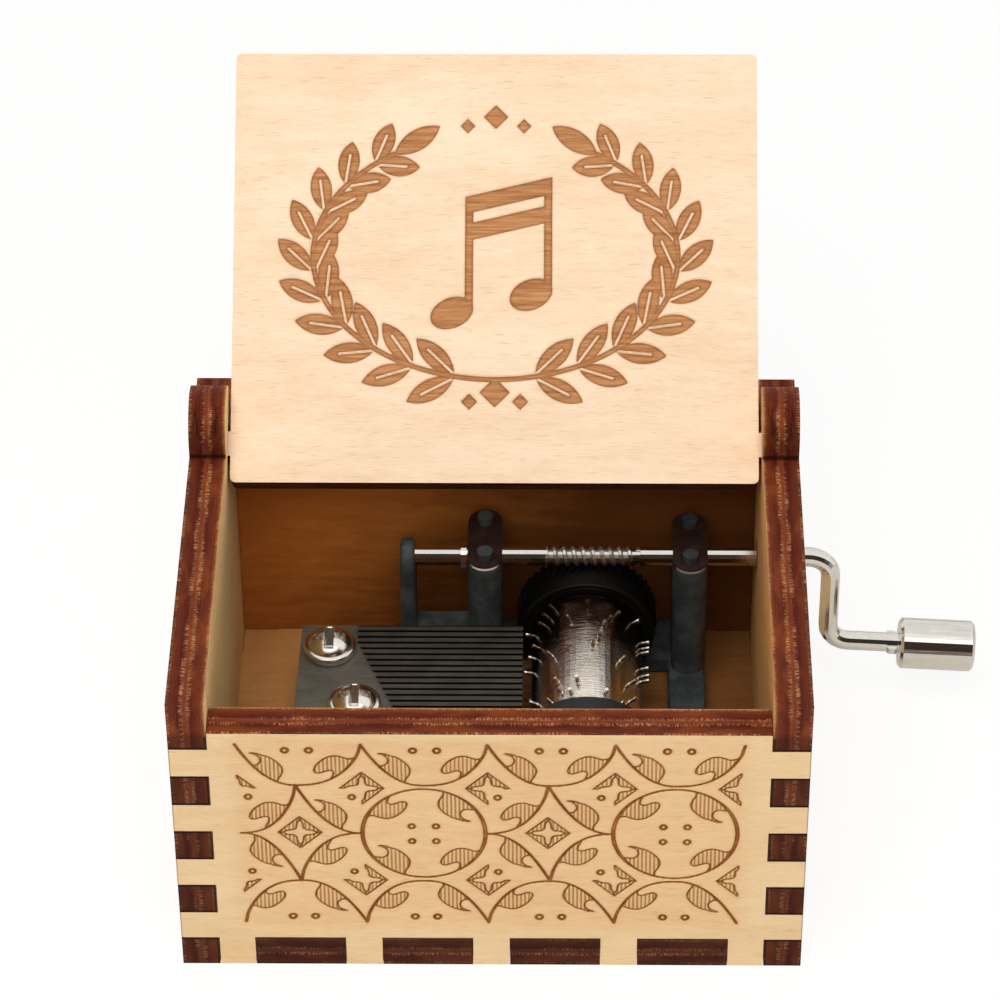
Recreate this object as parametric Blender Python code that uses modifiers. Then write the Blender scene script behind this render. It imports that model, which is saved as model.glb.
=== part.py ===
"""Wooden music box with a hand crank, in metres with +Z up.

The case stands on Z 0 and is centred on the Z axis. Its front faces -Y and the crank comes out on the right, at +X.
The lid rests open, leaning back on the back panel's top edge."""

import math

import bmesh
import bpy
from mathutils import Matrix, Vector

# Case
CASE_WIDTH = 0.064
CASE_DEPTH = 0.0514
SIDE_HEIGHT = 0.0366
PLY = 0.00385
KERF = 0.00008
TOP_FINGER = 0.0061
PALE_SHARE = 0.475
FRONT_TABS = 4
SIDE_TABS = 3
TAB_GAP = 0.00375

# Lid and its hinge
LID_SIDE_GAP = 0.00029
LID_REST_GAP = 0.00005
LID_REACH = 0.0425
LID_TAIL = 0.00415
LID_CORNER = 0.0006
LUG_WIDTH = 0.0026
LUG_FIT = 0.0001
NICK = 0.0004
EAR_RADIUS = 0.004
EAR_RISE = 0.0013
PIVOT_TO_BACK = 0.0054

# Cylinder, with its worm wheel
CYLINDER_X = 0.0099
CYLINDER_RISE = 0.00815
CYLINDER_RADIUS = 0.00595
CYLINDER_WALL = 0.0007
CYLINDER_LENGTH = 0.01765
PIN_RADIUS = 0.00022
PIN_HEIGHT = 0.00092
ARBOR_RADIUS = 0.0009
CAP_THICKNESS = 0.0012
WHEEL_TEETH = 47
WHEEL_FACE = 0.0024
WHEEL_ROOT = 0.00718
FLANGE_RADIUS = 0.0073
FLANGE_THICKNESS = 0.0021
FIT = 0.00005

# Crank shaft, with its worm
SHAFT_TO_BACK = 0.00645
CENTRE_DISTANCE = 0.0084
ROD_RADIUS = 0.00105
WORM_ROOT = 0.00078
WORM_CREST = 0.00112
WORM_TURNS = 9.4
WORM_PITCH = 0.001
WORM_SHIFT = 0.00074
MESH_GAP = 0.00007
TOP_BEND = 0.0026
BOTTOM_BEND = 0.0024
BEND_OUT = 0.0016
THROW = 0.0120
HANDLE_SLOPE = math.radians(3.5)
KNOB_START = 0.01205
KNOB_LENGTH = 0.0081
KNOB_RADIUS = 0.00278
SHAFT_HOLE = 0.0019

# Comb
TOOTH_COUNT = 18
TOOTH_PITCH = 0.000917
TOOTH_GAP = 0.00025
COMB_THICKNESS = 0.0009
COMB_RISE = 0.0018
COMB_WIDTH = 0.0243
TIP_GAP = 0.00008
LEAD_COUNT = 9

# Cast frame
BASE_THICKNESS = 0.0022
POST_WIDTH = 0.0037
POST_LENGTH = 0.0095
PLATE_THICKNESS = 0.0005
PEG_RADIUS = 0.00085
PEG_HEIGHT = 0.00085
ARM_THICKNESS = 0.0017
BEARING_THICKNESS = 0.0023
WEB_RISE = 0.00775
SCREW_RADIUS = 0.0012

# Places that follow from the sizes above
HALF_WIDTH = CASE_WIDTH / 2
HALF_DEPTH = CASE_DEPTH / 2
FLOOR = PLY
FRONT_HEIGHT = SIDE_HEIGHT - PLY - LID_REST_GAP
PIVOT = Vector((0.0, HALF_DEPTH - PLY - PIVOT_TO_BACK, SIDE_HEIGHT - PLY / 2))
SHAFT_Y = HALF_DEPTH - PLY - SHAFT_TO_BACK
CYLINDER_Z = FLOOR + CYLINDER_RISE
SHAFT_Z = CYLINDER_Z + CENTRE_DISTANCE
WHEEL_TIP = CENTRE_DISTANCE - WORM_ROOT - MESH_GAP
WHEEL_FRONT = SHAFT_Y - WHEEL_FACE / 2 - FLANGE_THICKNESS
CYLINDER_BACK = WHEEL_FRONT - FIT
CYLINDER_FRONT = CYLINDER_BACK - CYLINDER_LENGTH
PIN_TIP = CYLINDER_RADIUS + PIN_HEIGHT
COMB_TOP = CYLINDER_Z + COMB_RISE
COMB_BOTTOM = COMB_TOP - COMB_THICKNESS
COMB_BACK = CYLINDER_BACK - 0.0006
COMB_FRONT = COMB_BACK - TOOTH_COUNT * TOOTH_PITCH
COMB_LOW_RISE = COMB_RISE - COMB_THICKNESS
COMB_TIP = CYLINDER_X - math.sqrt((PIN_TIP + TIP_GAP) ** 2 - COMB_LOW_RISE**2)
POST_TOP = SHAFT_Z + ROD_RADIUS + FIT
LEFT_POST = CYLINDER_X - 0.011
RIGHT_POST = CYLINDER_X + 0.01105
BEARING_BACK = CYLINDER_FRONT - 0.0002

# Pins on each comb tooth's track, rear tooth first: places round the cylinder in degrees, 90 at its top.
# The first lists are those that the open lid lets one see.
TUNE = (
    (128, 222, 305),
    (35, 90, 135, 165, 251),
    (13, 60, 140, 214, 290),
    (13, 67, 109, 196, 262),
    (15, 73, 233, 318),
    (149, 205, 281, 345),
    (157, 243, 327),
    (17, 79, 169, 219, 296),
    (15, 85, 130, 258),
    (16, 53, 190, 274),
    (208, 236, 311),
    (246, 335),
    (41, 199, 287),
    (122, 227, 322),
    (100, 154, 265),
    (41, 118, 212, 301),
    (73, 106, 130, 254, 340),
    (56, 187, 239, 278),
)

COMB_SCREWS = (
    (COMB_TIP - 0.02076, COMB_BACK - 0.0039),
    (COMB_TIP - 0.01777, COMB_BACK - 0.01295),
)
FRAME_SCREWS = (
    ("left", COMB_TIP - 0.0195, COMB_BACK - 0.0088, 0.0082),
    ("rear", LEFT_POST - 0.0046, SHAFT_Y - 0.0005, 0.0085),
    ("right", RIGHT_POST - 0.0002, COMB_BACK - 0.0085, 0.0058),
)

for leftover in list(bpy.data.objects):
    bpy.data.objects.remove(leftover)

PARTS = bpy.data.collections.new("music_box")
CUTTERS = bpy.data.collections.new("cutters")
for group in (PARTS, CUTTERS):
    bpy.context.scene.collection.children.link(group)


def finish_of(name, colour, roughness, metallic):
    made = bpy.data.materials.new(name)
    made.use_nodes = True
    shader = made.node_tree.nodes["Principled BSDF"]
    shader.inputs["Base Color"].default_value = (*colour, 1.0)
    shader.inputs["Roughness"].default_value = roughness
    shader.inputs["Metallic"].default_value = metallic
    return made


BIRCH = (0.72, 0.50, 0.30)
DARK_CAST = (0.075, 0.09, 0.10)
STEEL = (0.62, 0.61, 0.60)


def hide(helper):
    helper.hide_render = True
    helper.display_type = "WIRE"


def place(name, mesh, look=None, at=(0, 0, 0), turn=(0, 0, 0), smooth=False):
    """Adds an object: a part when it has a look, else a cutter."""
    made = bpy.data.objects.new(name, mesh)
    made.location = at
    made.rotation_euler = turn
    if look:
        PARTS.objects.link(made)
        mesh.materials.append(finish_of(name, *look))
    else:
        CUTTERS.objects.link(made)
        hide(made)
    if smooth:
        mesh.polygons.foreach_set("use_smooth", [True] * len(mesh.polygons))
        mesh.set_sharp_from_angle(angle=math.radians(35))
    return made


def tidy(mesh):
    shape = bmesh.new()
    shape.from_mesh(mesh)
    bmesh.ops.remove_doubles(shape, verts=shape.verts, dist=1e-7)
    bmesh.ops.recalc_face_normals(shape, faces=shape.faces)
    shape.to_mesh(mesh)
    shape.free()


def slab(name, outline, thickness):
    """The mesh of a flat plate about the XY plane with one closed outline, a list of (x, y)."""
    shape = bmesh.new()
    face = shape.faces.new([shape.verts.new((x, y, -thickness / 2)) for x, y in outline])
    raised = bmesh.ops.extrude_face_region(shape, geom=[face])["geom"]
    corners = [corner for corner in raised if isinstance(corner, bmesh.types.BMVert)]
    bmesh.ops.translate(shape, vec=(0, 0, thickness), verts=corners)
    mesh = bpy.data.meshes.new(name)
    shape.to_mesh(mesh)
    shape.free()
    tidy(mesh)
    return mesh


def sheet(name, outlines, thickness):
    """The mesh of a flat plate about the XY plane, its closed outlines being lists of (x, y)."""
    if len(outlines) == 1:
        return slab(name, outlines[0], thickness)
    curve = bpy.data.curves.new(name, "CURVE")
    curve.dimensions = "2D"
    curve.fill_mode = "BOTH"
    curve.extrude = thickness / 2
    for outline in outlines:
        spline = curve.splines.new("POLY")
        spline.points.add(len(outline) - 1)
        for point, (x, y) in zip(spline.points, outline):
            point.co = (x, y, 0, 1)
        spline.use_cyclic_u = True
    holder = bpy.data.objects.new(name, curve)
    mesh = bpy.data.meshes.new_from_object(holder)
    bpy.data.objects.remove(holder)
    mesh.name = name
    tidy(mesh)
    return mesh


def upright(name, outlines, low, high, look=None):
    """A piece with its outlines in plan and flat ends at two heights."""
    return place(name, sheet(name, outlines, high - low), look, (0, 0, (low + high) / 2))


def across(name, outlines, low, high, look=None):
    """A piece with its outlines seen from the front, as (x, z), between two Y places."""
    return place(name, sheet(name, outlines, high - low), look, (0, (low + high) / 2, 0), (math.pi / 2, 0, 0))


def sideways(name, outlines, low, high, look=None):
    """A piece with its outlines seen from the right, as (y, z), between two X places."""
    turn = (math.pi / 2, 0, math.pi / 2)
    return place(name, sheet(name, outlines, high - low), look, ((low + high) / 2, 0, 0), turn)


def rectangle(x0, y0, x1, y1):
    return [(x0, y0), (x1, y0), (x1, y1), (x0, y1)]


def circle(x, y, radius, steps=32, start=0.0, turn=math.tau):
    """Points on a circle. A part of one includes both its ends."""
    count = steps if turn == math.tau else steps + 1
    angles = [start + turn * step / steps for step in range(count)]
    return [(x + radius * math.cos(a), y + radius * math.sin(a)) for a in angles]


def rounded(x0, y0, x1, y1, radius, steps=6):
    """A rectangle with round corners, anticlockwise from its lower right."""
    corners = ((x1 - radius, y0 + radius), (x1 - radius, y1 - radius), (x0 + radius, y1 - radius), (x0 + radius, y0 + radius))
    points = []
    for number, (x, y) in enumerate(corners):
        points += circle(x, y, radius, steps, math.radians(90 * number - 90), math.pi / 2)
    return points


def lathe(name, profile, look=None, at=(0, 0, 0), turn=(0, 0, 0), steps=48, ring=False):
    """A turned piece about its own Z, from (radius, height) pairs that run down its outer side."""
    mesh = bpy.data.meshes.new(name)
    count = len(profile)
    edges = [(i, (i + 1) % count) for i in range(count if ring else count - 1)]
    mesh.from_pydata([(radius, 0, height) for radius, height in profile], edges, [])
    made = place(name, mesh, look, at, turn)
    screw = made.modifiers.new("turned", "SCREW")
    screw.axis = "Z"
    screw.angle = math.tau
    screw.steps = steps
    screw.render_steps = steps
    screw.use_merge_vertices = True
    screw.merge_threshold = 0.000001
    screw.use_smooth_shade = True
    return made


def combine(target, other, operation):
    boolean = target.modifiers.new(other.name, "BOOLEAN")
    boolean.operation = operation
    boolean.solver = "EXACT"
    boolean.object = other


def add(target, *others):
    for other in others:
        combine(target, other, "UNION")


def cut(target, *others):
    for other in others:
        combine(target, other, "DIFFERENCE")


def soften(part, angle=35):
    """Shades round sides smooth and keeps the edges of flat ones sharp."""
    mesh = part.data
    mesh.polygons.foreach_set("use_smooth", [True] * len(mesh.polygons))
    mesh.set_sharp_from_angle(angle=math.radians(angle))


# Finger joints
# Each side of a panel is a list of (end, inset) spans. A finger has inset 0 and is a little narrower than its notch.
def steps_of(spans):
    """The corners along one side: (distance along it, inset)."""
    found = []
    for (end, inset), (_, following) in zip(spans, spans[1:]):
        shift = KERF / 2 if inset > following else -KERF / 2
        if inset == following:
            shift = 0.0
        found += [(end + shift, inset), (end + shift, following)]
    return found


def panel_outline(width, height, bottom, right, top, left):
    """A panel's outline, anticlockwise from its lower left, every side measured rightwards or upwards."""
    points = [(left[0][1], bottom[0][1])]
    points += [(along, inset) for along, inset in steps_of(bottom)]
    points.append((width - right[0][1], bottom[-1][1]))
    points += [(width - inset, along) for along, inset in steps_of(right)]
    points.append((width - right[-1][1], height - top[-1][1]))
    points += [(along, height - inset) for along, inset in reversed(steps_of(top))]
    points.append((left[-1][1], height - top[0][1]))
    points += [(inset, along) for along, inset in reversed(steps_of(left))]
    return points


NOTCH = PLY + KERF
PITCH = (SIDE_HEIGHT - PLY - TOP_FINGER) / (3 + PALE_SHARE)
MARKS = [(PLY + k * PITCH, PLY + (k + PALE_SHARE) * PITCH) for k in range(4)]


def post_side(finger_is_front):
    """The upright side of a panel: spans between the marks, for the front panel or for a side panel."""
    spans = []
    for low, high in MARKS:
        spans += [(low, NOTCH if finger_is_front else 0.0), (high, 0.0 if finger_is_front else NOTCH)]
    spans.append((SIDE_HEIGHT, NOTCH if finger_is_front else 0.0))
    return spans


def tab_side(length, count, for_tabs):
    """A side with the bottom panel's tabs: spans for the bottom panel or for the panel that its tabs enter."""
    tab = (length - 2 * PLY - (count + 1) * TAB_GAP) / count
    spans = []
    end = PLY
    for _ in range(count):
        end += TAB_GAP
        spans.append((end, NOTCH if for_tabs else 0.0))
        end += tab
        spans.append((end, 0.0 if for_tabs else NOTCH))
    spans.append((length, NOTCH if for_tabs else 0.0))
    return spans


def centred(points, width, depth=0.0):
    return [(x - width / 2, y - depth / 2) for x, y in points]


PLAIN = [(1.0, 0.0)]
WOOD = (BIRCH, 0.55, 0.0)

# Front and back panels
front_sides = post_side(True)
front_outline = panel_outline(
    CASE_WIDTH, FRONT_HEIGHT, tab_side(CASE_WIDTH, FRONT_TABS, False), front_sides, PLAIN, front_sides
)
back_outline = panel_outline(
    CASE_WIDTH, SIDE_HEIGHT, tab_side(CASE_WIDTH, FRONT_TABS, False), front_sides, PLAIN, front_sides
)
across("front_panel", [centred(front_outline, CASE_WIDTH)], -HALF_DEPTH, -HALF_DEPTH + PLY, WOOD)
across("back_panel", [centred(back_outline, CASE_WIDTH)], HALF_DEPTH - PLY, HALF_DEPTH, WOOD)

# Side panels, each with an ear that holds the lid
side_sides = post_side(False)
outline = panel_outline(
    CASE_DEPTH, SIDE_HEIGHT, tab_side(CASE_DEPTH, SIDE_TABS, False), side_sides, PLAIN, side_sides
)
top_right = outline.index((CASE_DEPTH, SIDE_HEIGHT))
ear_y = PIVOT.y + HALF_DEPTH
ear = [(ear_y + EAR_RADIUS, SIDE_HEIGHT)]
ear += circle(ear_y, SIDE_HEIGHT + EAR_RISE, EAR_RADIUS, 20, 0.0, math.pi)
ear.append((ear_y - EAR_RADIUS, SIDE_HEIGHT))
side_outline = centred(outline[: top_right + 1] + ear + outline[top_right + 1 :], CASE_DEPTH)
LUG_REACH = math.hypot(PLY / 2, LUG_WIDTH / 2)
hinge_hole = circle(PIVOT.y, PIVOT.z, LUG_REACH + LUG_FIT, 40)
shaft_hole = circle(SHAFT_Y, SHAFT_Z, SHAFT_HOLE, 32)
sideways("left_side_panel", [side_outline, hinge_hole], -HALF_WIDTH, -HALF_WIDTH + PLY, WOOD)
sideways("right_side_panel", [side_outline, hinge_hole, shaft_hole], HALF_WIDTH - PLY, HALF_WIDTH, WOOD)

# Bottom panel, with countersunk holes for the frame screws
floor_outline = panel_outline(
    CASE_WIDTH,
    CASE_DEPTH,
    tab_side(CASE_WIDTH, FRONT_TABS, True),
    tab_side(CASE_DEPTH, SIDE_TABS, True),
    tab_side(CASE_WIDTH, FRONT_TABS, True),
    tab_side(CASE_DEPTH, SIDE_TABS, True),
)
bottom = upright("bottom_panel", [[(x - HALF_WIDTH, y - HALF_DEPTH) for x, y in floor_outline]], 0.0, PLY, WOOD)

# Lid: one sheet with two lugs, and small nicks left by the laser at their roots
lid_half = HALF_WIDTH - PLY - LID_SIDE_GAP
lug_end = HALF_WIDTH - 0.0001
lug_half = LUG_WIDTH / 2
body = rounded(-lid_half, -LID_TAIL, lid_half, LID_REACH, LID_CORNER, 5)
right_lug = [
    (lid_half, -lug_half - NICK),
    (lid_half - NICK, -lug_half - NICK),
    (lid_half - NICK, -lug_half),
    (lug_end, -lug_half),
    (lug_end, lug_half),
    (lid_half - NICK, lug_half),
    (lid_half - NICK, lug_half + NICK),
    (lid_half, lug_half + NICK),
]
left_lug = [(-x, -y) for x, y in right_lug]
lid_outline = body[:6] + right_lug + body[6:18] + left_lug + body[18:]
LID_EDGE = math.hypot(PIVOT_TO_BACK, SIDE_HEIGHT - PIVOT.z)
LEAN = math.acos((PLY / 2 + LID_REST_GAP) / LID_EDGE) - math.atan2(SIDE_HEIGHT - PIVOT.z, PIVOT_TO_BACK)
place("lid", sheet("lid", [lid_outline], PLY), WOOD, PIVOT, (math.pi / 2 - LEAN, 0, 0))

# Cast frame: a base with a well for the cylinder, and all that stands on it
BASE_TOP = FLOOR + BASE_THICKNESS
LOW = BASE_TOP - 0.0008
LEFT_EDGE = COMB_TIP - COMB_WIDTH
BASE_BACK = SHAFT_Y + 0.0058
BEARING_FRONT = BEARING_BACK - BEARING_THICKNESS
arm_x = LEFT_POST - 0.0075
step_x = arm_x - ARM_THICKNESS - 0.0002
base_outline = [
    (LEFT_EDGE, BEARING_FRONT),
    (RIGHT_POST + POST_WIDTH / 2, BEARING_FRONT),
    (RIGHT_POST + POST_WIDTH / 2, BASE_BACK),
    (step_x, BASE_BACK),
    (step_x, COMB_BACK - 0.0005),
    (LEFT_EDGE, COMB_BACK - 0.0005),
]
well = rounded(COMB_TIP - 0.001, BEARING_BACK, RIGHT_POST - POST_WIDTH / 2 - 0.0003, SHAFT_Y + 0.0015, 0.0008, 4)
CAST = (DARK_CAST, 0.45, 0.6)
frame = upright("movement_frame", [base_outline, well], FLOOR, BASE_TOP, CAST)


def root_at(number):
    """How far the gap behind tooth `number` runs: three long ones, then each a little shorter."""
    return COMB_TIP - 0.01776 + 0.000366 * max(0, number - 2)


pad_front = COMB_FRONT + 0.0003
pad_back = COMB_BACK - 0.0002
pad = [
    (LEFT_EDGE + 0.0003, pad_front),
    (root_at(TOOTH_COUNT) - 0.0006, pad_front),
    (root_at(3) - 0.0006, COMB_BACK - 4 * TOOTH_PITCH),
    (root_at(0) - 0.0006, pad_back),
    (LEFT_EDGE + 0.0006, pad_back),
]
add(frame, upright("cut_pad", [pad], LOW, COMB_BOTTOM))


def bearing(name, half, low, high, top):
    """A wall with a round top about the cylinder's axis."""
    start = math.asin(min(1.0, math.sqrt(max(0.0, 1 - (half / top) ** 2))))
    arc = circle(CYLINDER_X, CYLINDER_Z, top, 20, start, math.pi - 2 * start)
    return across(name, [[(CYLINDER_X - half, LOW), (CYLINDER_X + half, LOW)] + arc], low, high)


BACK_WALL = SHAFT_Y + WHEEL_FACE / 2 + 0.0004
add(frame, bearing("cut_front_bearing", 0.006, BEARING_FRONT + 0.0001, BEARING_BACK - 0.00005, 0.0075))
add(frame, bearing("cut_rear_bearing", 0.0042, BACK_WALL, BACK_WALL + BEARING_THICKNESS, 0.0045))

# Posts, in plan two half circles joined by straight sides, with pegs that pass through the retaining plates
ends = (("left", LEFT_POST, 0.0), ("right", RIGHT_POST, -0.0004))
peg_top = POST_TOP + PLATE_THICKNESS + PEG_HEIGHT
PEG_SPREAD = 0.0029
PEG_MIDDLE = 0.00092
for side, x, shift in ends:
    middle = SHAFT_Y + 0.001 + shift
    half = POST_LENGTH / 2
    radius = POST_WIDTH / 2
    plan = rounded(x - radius, middle - half, x + radius, middle + half, radius, 8)
    add(frame, upright("cut_post_" + side, [plan], LOW, POST_TOP))
    for row, y in (("front", -PEG_SPREAD), ("rear", PEG_SPREAD)):
        peg = circle(x, SHAFT_Y + PEG_MIDDLE + shift + y, PEG_RADIUS, 24)
        add(frame, upright("cut_peg_" + side + "_" + row, [peg], POST_TOP - 0.001, peg_top))

# Thrust arm at the shaft's left end, its rims rounded, and the low web that joins it to the left post
arm_radius = 0.0026
arm_y = SHAFT_Y + 0.0004
arm_top = SHAFT_Z + 0.0015 - arm_radius
arm = [(arm_y - arm_radius, LOW), (arm_y + arm_radius, LOW)]
arm += circle(arm_y, arm_top, arm_radius, 16, 0.0, math.pi)
thrust_arm = sideways("cut_arm", [arm], arm_x - ARM_THICKNESS, arm_x)
rim = thrust_arm.modifiers.new("rounded", "BEVEL")
rim.width = ARM_THICKNESS * 0.36
rim.segments = 3
rim.limit_method = "ANGLE"
rim.angle_limit = math.radians(60)
add(frame, thrust_arm)
web = rectangle(SHAFT_Y - 0.0019, LOW, SHAFT_Y + 0.0009, FLOOR + WEB_RISE)
add(frame, sideways("cut_web", [web], arm_x - 0.0003, LEFT_POST - 0.0004))

# Rail at the right, from the post to the front
rail = rounded(
    RIGHT_POST - POST_WIDTH / 2 - 0.0002, BEARING_FRONT + 0.0003, RIGHT_POST + POST_WIDTH / 2 - 0.0002, SHAFT_Y, 0.0006, 4
)
add(frame, upright("cut_rail", [rail], LOW, BASE_TOP + 0.0009))
foot = rounded(CYLINDER_X + 0.0055, SHAFT_Y - 0.0006, RIGHT_POST, BASE_BACK - 0.0004, 0.0008, 4)
add(frame, upright("cut_foot", [foot], FLOOR + 0.0003, BASE_TOP - 0.0001))

# What is cut from the frame: the shaft's seats, the arbor's bores, the threads
seat_radius = ROD_RADIUS + FIT
for side, x, _ in ends:
    slot = circle(SHAFT_Y, SHAFT_Z, seat_radius, 12, math.pi, math.pi)
    slot += [(SHAFT_Y + seat_radius, POST_TOP + 0.0002), (SHAFT_Y - seat_radius, POST_TOP + 0.0002)]
    cut(frame, sideways("cut_seat_" + side, [slot], x - POST_WIDTH, x + POST_WIDTH))
blind = circle(SHAFT_Y, SHAFT_Z, seat_radius, 24)
cut(frame, sideways("cut_thrust", [blind], arm_x - ARM_THICKNESS / 2, arm_x + 0.001))
bore = circle(CYLINDER_X, CYLINDER_Z, ARBOR_RADIUS + FIT, 24)
cut(frame, across("cut_bores", [bore], BEARING_FRONT - 0.001, BACK_WALL + 0.005))

# Comb, cut from one plate, with lead under the low teeth
comb_outline = [(LEFT_EDGE + 0.00045, COMB_BACK), (LEFT_EDGE, COMB_FRONT), (COMB_TIP, COMB_FRONT)]
for number in reversed(range(TOOTH_COUNT - 1)):
    y = COMB_BACK - (number + 1) * TOOTH_PITCH
    low, high = y - TOOTH_GAP / 2, y + TOOTH_GAP / 2
    root = root_at(number)
    comb_outline += [(COMB_TIP, low), (root, low), (root, high), (COMB_TIP, high)]
comb_outline.append((COMB_TIP, COMB_BACK))
holes = [circle(x, y, SCREW_RADIUS + FIT, 24) for x, y in COMB_SCREWS]
comb = upright("comb", [comb_outline, *holes], COMB_BOTTOM, COMB_TOP, ((0.16, 0.15, 0.14), 0.4, 0.85))
for number in range(LEAD_COUNT):
    y = COMB_BACK - (number + 0.5) * TOOTH_PITCH
    half = TOOTH_PITCH / 2 - TOOTH_GAP / 2 - 0.00004
    depth = 0.003 - 0.00022 * number
    weight = rectangle(COMB_TIP - 0.0042, y - half, COMB_TIP - 0.0009, y + half)
    add(comb, upright(f"cut_lead_{number}", [weight], COMB_BOTTOM - depth, COMB_BOTTOM + 0.0003))

# Comb screws: a wide flange under a low dome
flange = 0.0029
for place_name, (x, y) in zip(("rear", "front"), COMB_SCREWS):
    profile = [
        (0.0, 0.0017),
        (0.0011, 0.0016),
        (0.0019, 0.0013),
        (0.0024, 0.0008),
        (0.00245, 0.0005),
        (flange - 0.0001, 0.0005),
        (flange, 0.0004),
        (flange, 0.0),
        (SCREW_RADIUS, 0.0),
        (SCREW_RADIUS, -COMB_THICKNESS - 0.003),
        (0.0, -COMB_THICKNESS - 0.0035),
    ]
    lathe("comb_screw_" + place_name, profile, ((0.75, 0.74, 0.70), 0.18, 1.0), (x, y, COMB_TOP), steps=24)
    hole = circle(x, y, SCREW_RADIUS + FIT, 24)
    cut(frame, upright("cut_comb_thread_" + place_name, [hole], COMB_BOTTOM - 0.004, COMB_BOTTOM + 0.001))

# Frame screws, flush in the bottom panel
HEAD = 0.0022
SUNK = 0.00015
for side, x, y, reach in FRAME_SCREWS:
    cone = HEAD - SCREW_RADIUS
    profile = [
        (0.0, SUNK + reach),
        (SCREW_RADIUS - 0.0003, SUNK + reach),
        (SCREW_RADIUS, SUNK + reach - 0.0004),
        (SCREW_RADIUS, SUNK + cone),
        (HEAD, SUNK),
        (0.0, SUNK),
    ]
    lathe("frame_screw_" + side, profile, ((0.62, 0.56, 0.42), 0.3, 1.0), (x, y, 0.0), steps=24)
    wide = HEAD + FIT
    thin = SCREW_RADIUS + FIT
    sink = [
        (0.0, SUNK + reach + 0.0003),
        (thin, SUNK + reach + 0.0003),
        (thin, wide - thin + SUNK),
        (wide, SUNK),
        (wide, -0.001),
        (0.0, -0.001),
    ]
    sunk = lathe("cut_frame_screw_" + side, sink, at=(x, y, 0.0), steps=24)
    cut(bottom, sunk)
    cut(frame, sunk)

# Retaining plates over the shaft
for side, x, shift in ends:
    middle = SHAFT_Y + 0.001 + shift
    half = POST_LENGTH / 2
    radius = POST_WIDTH / 2
    outlines = [rounded(x - radius, middle - half, x + radius, middle + half, radius, 8)]
    for y in (-PEG_SPREAD, PEG_SPREAD):
        outlines.append(circle(x, SHAFT_Y + PEG_MIDDLE + shift + y, PEG_RADIUS + FIT, 24))
    upright("shaft_plate_" + side, outlines, POST_TOP, POST_TOP + PLATE_THICKNESS, ((0.2, 0.19, 0.18), 0.35, 1.0))

# Pinned cylinder: a tube with pins pressed through its wall
TO_BACK = (-math.pi / 2, 0, 0)
axis_at = (CYLINDER_X, CYLINDER_FRONT, CYLINDER_Z)
inner = CYLINDER_RADIUS - CYLINDER_WALL
tube = [(CYLINDER_RADIUS, CYLINDER_LENGTH), (CYLINDER_RADIUS, 0.0), (inner, 0.0), (inner, CYLINDER_LENGTH)]
cylinder = lathe("pinned_cylinder", tube, ((0.30, 0.25, 0.22), 0.2, 1.0), axis_at, TO_BACK, steps=60, ring=True)
pins = bmesh.new()
for track, angles in enumerate(TUNE):
    y = COMB_BACK - (track + 0.5) * TOOTH_PITCH
    for degrees in angles:
        angle = math.radians(degrees)
        foot = CYLINDER_RADIUS - CYLINDER_WALL / 2
        middle = (foot + PIN_TIP) / 2
        outward = Matrix.Rotation(math.pi / 2 - angle, 4, "Y")
        spot = Vector((CYLINDER_X + middle * math.cos(angle), y, CYLINDER_Z + middle * math.sin(angle)))
        bmesh.ops.create_cone(
            pins,
            cap_ends=True,
            segments=8,
            radius1=PIN_RADIUS,
            radius2=PIN_RADIUS,
            depth=PIN_TIP - foot,
            matrix=Matrix.Translation(spot) @ outward,
        )
pin_mesh = bpy.data.meshes.new("cut_pins")
pins.to_mesh(pin_mesh)
pins.free()
add(cylinder, place("cut_pins", pin_mesh))

# Cap in the cylinder's front end, and the arbor through both
cap_outer = inner - 0.00003
cap_inner = ARBOR_RADIUS + 0.00003
cap = [
    (cap_outer, CAP_THICKNESS + 0.0002),
    (cap_outer, 0.0002),
    (cap_inner, 0.0002),
    (cap_inner, CAP_THICKNESS + 0.0002),
]
lathe("cylinder_end_cap", cap, ((0.5, 0.38, 0.2), 0.35, 1.0), axis_at, TO_BACK, steps=48, ring=True)
arbor_start = BEARING_FRONT - 0.0002 - CYLINDER_FRONT
arbor_end = BACK_WALL + BEARING_THICKNESS + 0.0002 - CYLINDER_FRONT
arbor = [(0.0, arbor_end), (ARBOR_RADIUS, arbor_end), (ARBOR_RADIUS, arbor_start), (0.0, arbor_start)]
lathe("cylinder_arbor", arbor, (STEEL, 0.25, 1.0), axis_at, TO_BACK, steps=24)

# Worm wheel: slanted teeth behind a plain flange, and a hub that enters the cylinder
LEAD_ANGLE = math.atan2(WORM_PITCH, math.tau * (WORM_ROOT + WORM_CREST) / 2)
TWIST = WHEEL_FACE * math.tan(LEAD_ANGLE) / WHEEL_TIP
step = math.tau / WHEEL_TEETH
teeth = []
for number in range(WHEEL_TEETH):
    middle = math.pi / 2 + (number + 0.5) * step
    for radius, offset in ((WHEEL_ROOT, -0.27), (WHEEL_TIP, -0.155), (WHEEL_TIP, 0.155), (WHEEL_ROOT, 0.27)):
        angle = middle + offset * step
        teeth.append((radius * math.cos(angle), radius * math.sin(angle)))
wheel_mesh = sheet("worm_wheel", [teeth, circle(0, 0, cap_inner, 24)], WHEEL_FACE)
for vertex in wheel_mesh.vertices:
    swing = Matrix.Rotation(TWIST * vertex.co.z / WHEEL_FACE, 4, "Z")
    vertex.co = swing @ vertex.co
BLACK_PLASTIC = ((0.02, 0.02, 0.022), 0.35, 0.0)
wheel = place("worm_wheel", wheel_mesh, BLACK_PLASTIC, (CYLINDER_X, SHAFT_Y, CYLINDER_Z), (math.pi / 2, 0, 0))
overlap = 0.0003
flange_top = FLANGE_THICKNESS + overlap
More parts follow.
